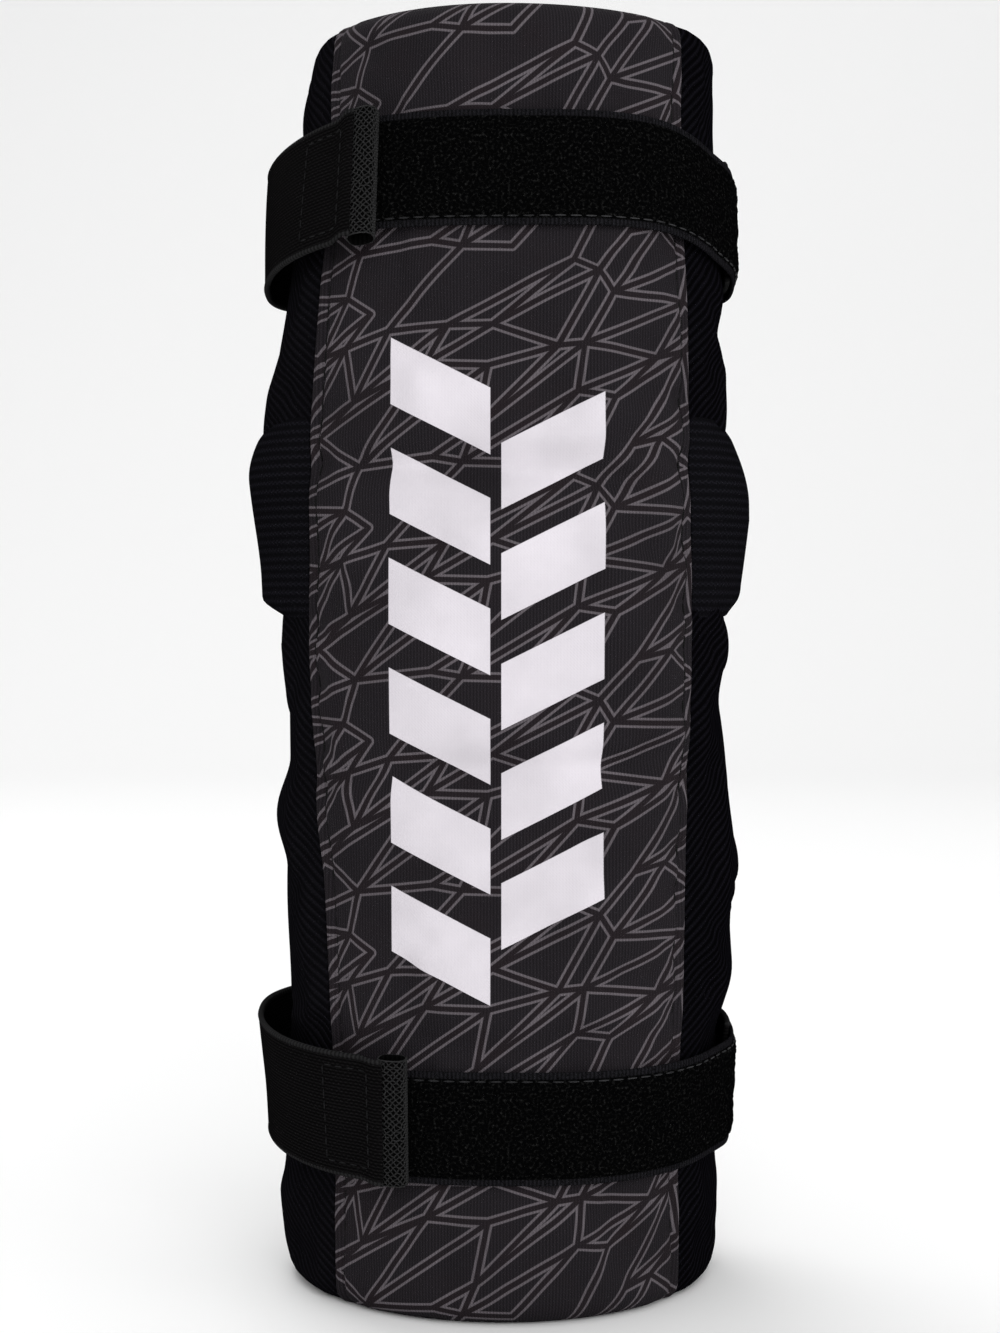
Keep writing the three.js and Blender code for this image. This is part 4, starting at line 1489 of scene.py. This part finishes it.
@dataclass
class Strap:
    """A loop strip across the front, and the elastic that comes round and hooks onto it."""

    dyer: Dyer
    course: StrapCourse
    inner_edge: Side  # LEFT is the lower edge
    loop_start: float = -45
    loop_end: float = 112
    elastic_start: float = 78
    hook_height: float = 22
    hook_length: float = 13
    selvedge: float = 1.9
    tuft: float = 0.34
    tape: float = 0.65
    lap: float = 1.8
    lap_start: float = 1.2
    lap_climb: float = 6
    lap_end: float = 0.3
    lap_gap: float = 0.1
    # spacing, radius of the rounded edges
    pile_grid: tuple[float, float] = (0.62, 0.7)
    elastic_grid: tuple[float, float] = (1.0, 0.6)
    hook_grid: tuple[float, float] = (0.9, 0.4)
    tab_grid: tuple[float, float] = (0.9, 0.5)
    edge_round: float = 0.35
    selvedge_drop: float = 0.75
    selvedge_soft: float = 0.5
    sewn_in: float = 0.25
    elastic_round: float = 0.42
    thread_lift: float = 0.12
    thread_skips: int = 4
    # in from the end, short of the patch's length, in from its sides
    box_insets: tuple[float, float, float] = (1.6, 0.6, 0.2)
    box_lift: float = 0.1
    box_points: int = 24
    squareness: float = 3
    net_cell: float = 1.35
    net_slack: float = 0.16
    net_cord: float = 0.46
    net_sunk: float = 0.12
    net_width: float = 0.985
    net_rim: float = 0.499
    tab_turns: int = 57
    tab_round: float = 0.3
    tab_inset: float = 0.25
    # rise, distance from the edge, reach: the corded selvedge and the dip beside it
    elastic_cords: tuple[tuple[float, float, float], ...] = ((0.16, 0.9, 0.8), (0.12, 2, 0.6))
    seed: int = 7

    def grid(self, start: float, stop: float, width: float, cell: float, edge: float) -> tuple[Array, ...]:
        """A band's grid.

        Args:
            start: The first angle.
            stop: The last angle.
            width: The band's width.
            cell: The spacing.
            edge: The radius of its rounded edges.

        Returns:
            The angles, the shares of the width, how far round and how far up each stop lies, and the
            distance to the nearest long edge and to the nearest edge of all.
        """
        length = self.course.length(start, stop)
        across = start + (stop - start) * graded(length, cell, edge)
        angle, v = np.meshgrid(across, graded(width, cell, edge) - 0.5)
        along = (angle - start) / (stop - start) * length
        long_edge = (0.5 - np.abs(v)) * width
        nearest = np.minimum(long_edge, np.minimum(along, length - along))
        return angle, v, along, v * width, long_edge, nearest

    def make(self) -> None:
        """Builds and dresses all of the strap's pieces."""
        self.make_loop()
        self.make_elastic()
        self.make_hook()
        self.make_tab()

    def make_loop(self) -> None:
        """The pile strip, with knitted selvedges and tufts, and its seams."""
        course = self.course
        name = f"{course.label}_loop_strip"
        width = course.loop_width
        ends = (self.loop_start, self.loop_end)
        angle, v, along, up, _, nearest = self.grid(*ends, width, *self.pile_grid)
        tufts = np.random.default_rng(self.seed).random(angle.shape)
        tufts = (tufts + np.roll(tufts, 1, 0) + np.roll(tufts, 1, 1)) / 3
        on_pile = ease(nearest, self.selvedge - self.selvedge_soft, self.selvedge + self.selvedge_soft)
        sewn = np.exp(-(((nearest - self.selvedge) / self.selvedge_soft) ** 2))
        pile = course.pile - self.selvedge_drop * (1 - on_pile) + self.tuft * (tufts - 0.5) * 2 * on_pile
        pile = pile - self.sewn_in * sewn
        edge = rounded(nearest, self.edge_round)
        outer, normal = course.loop_band(angle, v, pile - edge)
        inner, _ = course.loop_band(angle, v, edge)
        made = Slab(outer, inner).made(name, along, up)
        hand_in(made, Slot.PILE, self.dyer.finish(LOOP_PILE), name)
        length = course.length(self.loop_start, self.loop_end)
        thread = Stitches(f"{name}_stitches", pitch=3.4, length=2.6, radius=0.2)
        row = int(np.argmin(np.abs(up[:, 0] - self.inner_edge * (width / 2 - self.selvedge))))
        inside = slice(self.thread_skips, -self.thread_skips)
        thread.sew(outer[row, inside] + normal[row, inside] * self.thread_lift, normal[row, inside])
        thread.finish_off(Slot.PILE, self.dyer.finish(PILE_THREAD))

    def make_elastic(self) -> None:
        """The woven elastic, with corded selvedges, and the stitched box at its free end."""
        course = self.course
        name = f"{course.label}_elastic_strap"
        width, end = course.elastic_width, course.elastic_end + course.turn(self.lap, course.elastic_end)
        ends = (self.elastic_start, end)
        angle, v, along, up, long_edge, nearest = self.grid(*ends, width, *self.elastic_grid)
        cord, dip = (rise * hump(long_edge - at, reach) for rise, at, reach in self.elastic_cords)
        foot, top, shift = self.climb(angle, end)
        edge = rounded(nearest, (top - foot) * self.elastic_round)
        relief = (cord - dip) * (top - foot) / course.elastic
        outer, _ = course.elastic_band(angle, v + shift, width, top - edge + relief)
        inner, _ = course.elastic_band(angle, v + shift, width, foot + edge)
        made = Slab(outer, inner).made(name, along, up)
        hand_in(made, Slot.ELASTIC, self.dyer.finish(ELASTIC_WEAVE), name)
        length = course.length(self.elastic_start, end)
        thread = Stitches(f"{name}_stitches", pitch=2.6, length=2, radius=0.17)
        corners = self.hook_box(course.elastic_end)
        for first, last in zip(corners, corners[1:] + corners[:1], strict=True):
            share = np.linspace(0, 1, self.box_points)
            turned = first[0] + (last[0] - first[0]) * share
            height = first[1] + (last[1] - first[1]) * share
            _, top, shift = self.climb(turned, end)
            thread.sew(*course.elastic_band(turned, height + shift, width, top + self.box_lift))
        thread.finish_off(Slot.ELASTIC, self.dyer.finish(THREAD))

    def climb(self, angle: Array, end: float) -> tuple[Array, Array, Array]:
        """The elastic's inner and outer face, which climb onto the tab's fold, and its shift across."""
        course = self.course
        climbed = 1 - ease((end - angle) / course.turn(1, end), self.lap_start, self.lap_climb)
        foot = climbed * (course.tab_pad + self.lap_gap - course.hook - SLEEVE.gap)
        thick = course.elastic + (self.lap_end - course.elastic) * climbed
        return foot, foot + thick, climbed * course.fold_shift / course.elastic_width

    def hook_box(self, end: float) -> list[tuple[float, float]]:
        """The corners of the stitched box, as angles and shares of the elastic's width."""
        course = self.course
        near_inset, far_inset, side_inset = self.box_insets
        near = end - course.turn(near_inset, end)
        far = end - course.turn(self.hook_length - far_inset, end)
        high = (self.hook_height / 2 - side_inset) / course.elastic_width
        return [(far, -high), (near, -high), (near, high), (far, high)]

    def make_hook(self) -> None:
        """The hook patch between the elastic and the pile."""
        course = self.course
        name = f"{course.label}_hook_patch"
        end = course.elastic_end
        start = end - course.turn(self.hook_length, end)
        angle, v, along, up, _, nearest = self.grid(start, end, self.hook_height, *self.hook_grid)
        edge = rounded(nearest, self.edge_round)
        outer, _ = course.elastic_band(angle, v, self.hook_height, -SLEEVE.gap - edge)
        inner, _ = course.elastic_band(angle, v, self.hook_height, -SLEEVE.gap - course.hook + edge)
        made = Slab(outer, inner).made(name, along, up)
        hand_in(made, Slot.HOOK, self.dyer.finish(HOOK_TAPE), name)

    def fold(self, turn: Array, v: Array, half_length: Array, half_pad: Array) -> Array:
        """Points of the folded tab's section.

        Args:
            turn: How far round the fold, in radians.
            v: Shares of the width.
            half_length: Half of the fold's length.
            half_pad: Half of its thickness.

        Returns:
            The points.
        """
        course = self.course
        power = self.squareness
        round_out = (np.abs(np.cos(turn)) ** power + np.abs(np.sin(turn)) ** power) ** (-1 / power)
        along = course.tab_length / 2 + half_length * np.cos(turn) * round_out
        angle = course.tab_start + course.turn(1, course.tab_start) * along
        above = course.tab_pad / 2 + half_pad * np.sin(turn) * round_out
        shifted = v + course.fold_shift * np.sin(turn) * round_out / course.elastic_width
        above = above + course.on_loop - course.on_hook
        return course.elastic_band(angle, shifted, course.elastic_width, above)[0]

    def make_tab(self) -> None:
        """The tape folded round on itself, and the open net over it."""
        course = self.course
        name = f"{course.label}_pull_tab"
        turns = np.linspace(0, -math.tau, self.tab_turns)
        shares = graded(course.elastic_width, *self.tab_grid) - 0.5
        turn, v = np.meshgrid(turns, shares)
        edge = rounded((0.5 - np.abs(v)) * course.elastic_width, self.tab_round)
        outer, inner = (
            self.fold(turn, v, course.tab_length / 2 - inset, course.tab_pad / 2 - inset)
            for inset in (self.tab_inset + edge, self.tab_inset + self.tape - edge)
        )
        made = Slab(outer, inner).close_ring().made(name)
        hand_in(made, Slot.TAPE, self.dyer.finish(TAB_TAPE), name)
        net = self.make_net(f"{name}_net")

    def make_net(self, name: str) -> bpy.types.Object:
        """The net of crossing cords that wraps round the fold."""
        course = self.course
        round_fold = 2 * (course.tab_length + course.tab_pad)
        across = 2 * round(round_fold / self.net_cell / 2)
        up = round(course.elastic_width / self.net_cell)
        bm = bmesh.new()
        bmesh.ops.create_grid(bm, x_segments=across, y_segments=up, size=0.5)
        straight = bm.edges[:]
        bmesh.ops.poke(bm, faces=bm.faces[:])
        inner = [edge for edge in straight if edge.is_valid and len(edge.link_faces) == 2]
        bmesh.ops.dissolve_edges(bm, edges=inner, use_verts=False)
        place = np.array([vert.co[:] for vert in bm.verts])
        inside = (np.abs(place[:, :2]) < self.net_rim).all(axis=1)
        loose = np.random.default_rng(self.seed).uniform(-1, 1, (len(place), 2)) * self.net_slack
        place[inside, :2] += (loose / (across, up))[inside]
        half_length, half_pad = (
            np.full(len(place), size / 2 - self.net_sunk) for size in (course.tab_length, course.tab_pad)
        )
        turn, v = -(place[:, 0] + 0.5) * math.tau, place[:, 1] * self.net_width
        set_points(bm, self.fold(turn, v, half_length, half_pad))
        bmesh.ops.remove_doubles(bm, verts=bm.verts[:], dist=WELD)
        bmesh.ops.recalc_face_normals(bm, faces=bm.faces[:])
        cords = {"thickness": self.net_cord * MM, "offset": 0, "use_even_offset": False}
        bmesh.ops.wireframe(bm, faces=bm.faces[:], use_replace=True, use_boundary=True, **cords)
        made = add_object(name, bm)
        hand_in(made, Slot.TAPE, self.dyer.finish(NET_CORD))
        return made


# The studio


@dataclass
class Studio:
    """A pale sweep, soft light, and the camera at the photograph's angle. Lengths are metres."""

    distance: float = 0.560
    eye: float = 0.1587
    lens: float = 63.36
    sensor: float = 36
    tilt: float = 1.502
    turn: float = 0.122
    sweep_width: float = 8
    sweep_front: float = 2.5
    sweep_back: float = 1.6
    sweep_radius: float = 0.8
    sweep_height: float = 3.5
    sweep_steps: int = 16
    world_light: float = 0.75
    # name, place, size, power
    lights: tuple[tuple[str, tuple[float, float, float], float, float], ...] = (
        ("front_light", (0.25, -1.6, 1.0), 1.3, 14),
        ("right_light", (1.4, -1.0, 0.5), 1.0, 6),
        ("back_light", (-0.5, 0.9, 1.9), 1.2, 14),
    )

    def make_sweep(self) -> None:
        """The floor that curves up into a backdrop."""
        bm = bmesh.new()
        left = bm.verts.new((-self.sweep_width / 2, -self.sweep_front, 0))
        right = bm.verts.new((self.sweep_width / 2, -self.sweep_front, 0))
        edge = bm.edges.new((left, right))

        def push(far: Vector) -> None:
            """Draws the sweep out from its last edge."""
            nonlocal edge
            grown = bmesh.ops.extrude_edge_only(bm, edges=[edge])["geom"]
            verts = [item for item in grown if isinstance(item, bmesh.types.BMVert)]
            edges = (item for item in grown if isinstance(item, bmesh.types.BMEdge))
            edge = next(item for item in edges if set(item.verts) == set(verts))
            bmesh.ops.translate(bm, verts=verts, vec=far)

        push(Vector((0, self.sweep_front + self.sweep_back, 0)))
        for step in range(self.sweep_steps):
            first, last = (math.pi / 2 * (step + offset) / self.sweep_steps for offset in (0, 1))
            arc = Vector((0, math.sin(last) - math.sin(first), math.cos(first) - math.cos(last)))
            push(arc * self.sweep_radius)
        push(Vector((0, 0, self.sweep_height)))
        bmesh.ops.recalc_face_normals(bm, faces=bm.faces[:])
        sweep = add_object("sweep", bm)
        paper = bpy.data.materials.new("sweep_paper")
        paper.use_nodes = True
        shader = paper.node_tree.nodes["Principled BSDF"]
        shader.inputs["Base Color"].default_value = (0.9, 0.9, 0.9, 1)
        shader.inputs["Roughness"].default_value = 0.9
        shader.inputs["Specular IOR Level"].default_value = 0.1
        sweep.data.materials.append(paper)

    def make_light(self, name: str, place: Vector, size: float, power: float) -> None:
        """A soft square light that faces the pad."""
        light = bpy.data.lights.new(name, "AREA")
        light.shape = "SQUARE"
        light.size = size
        light.energy = power
        lamp = bpy.data.objects.new(name, light)
        lamp.location = place
        middle = Vector((AXIS.x, AXIS.y, SLEEVE.length / 2 * MM))
        lamp.rotation_euler = (middle - place).to_track_quat("-Z", "Y").to_euler()
        bpy.context.scene.collection.objects.link(lamp)

    def make_camera(self) -> None:
        """The camera, in front of the pad and above the floor."""
        camera = bpy.data.cameras.new("camera")
        camera.sensor_fit = "VERTICAL"
        camera.sensor_height = self.sensor
        camera.lens = self.lens
        seen = bpy.data.objects.new("camera", camera)
        seen.location = (AXIS.x, AXIS.y - self.distance, self.eye)
        seen.rotation_euler = (math.radians(90 - self.tilt), 0, math.radians(self.turn))
        bpy.context.scene.collection.objects.link(seen)
        bpy.context.scene.camera = seen

    def make(self) -> None:
        """Sets up the studio."""
        scene = bpy.context.scene
        scene.view_settings.view_transform = "Standard"
        world = bpy.data.worlds.new("studio")
        world.use_nodes = True
        background = world.node_tree.nodes["Background"]
        background.inputs["Color"].default_value = (1, 1, 1, 1)
        background.inputs["Strength"].default_value = self.world_light
        scene.world = world
        self.make_sweep()
        for name, place, size, power in self.lights:
            self.make_light(name, Vector(place), size, power)
        self.make_camera()


def main() -> None:
    """Builds the pad piece by piece, and the studio round it."""
    logging.basicConfig(level=logging.INFO, format="%(name)s: %(message)s")
    Studio().make()
    dyer = Dyer()
    FrontPanel(dyer, "front_panel").make()
    SidePanel(dyer, "side_panel_left", side=Side.LEFT).make()
    SidePanel(dyer, "side_panel_right", side=Side.RIGHT).make()
    BackPanel(dyer).make()
    Lining(dyer).make()
    Wing(dyer, Side.LEFT, pad_share=0.83, foot_pad=1, top_slope=0.3, foot_slope=0.1).make()
    Wing(dyer, Side.RIGHT, pad_share=1, foot_pad=0.5, top_slope=0.42, foot_slope=0.14).make()
    Strap(dyer, UPPER_COURSE, Side.LEFT).make()
    Strap(dyer, LOWER_COURSE, Side.RIGHT).make()


if __name__ == "__main__":
    main()
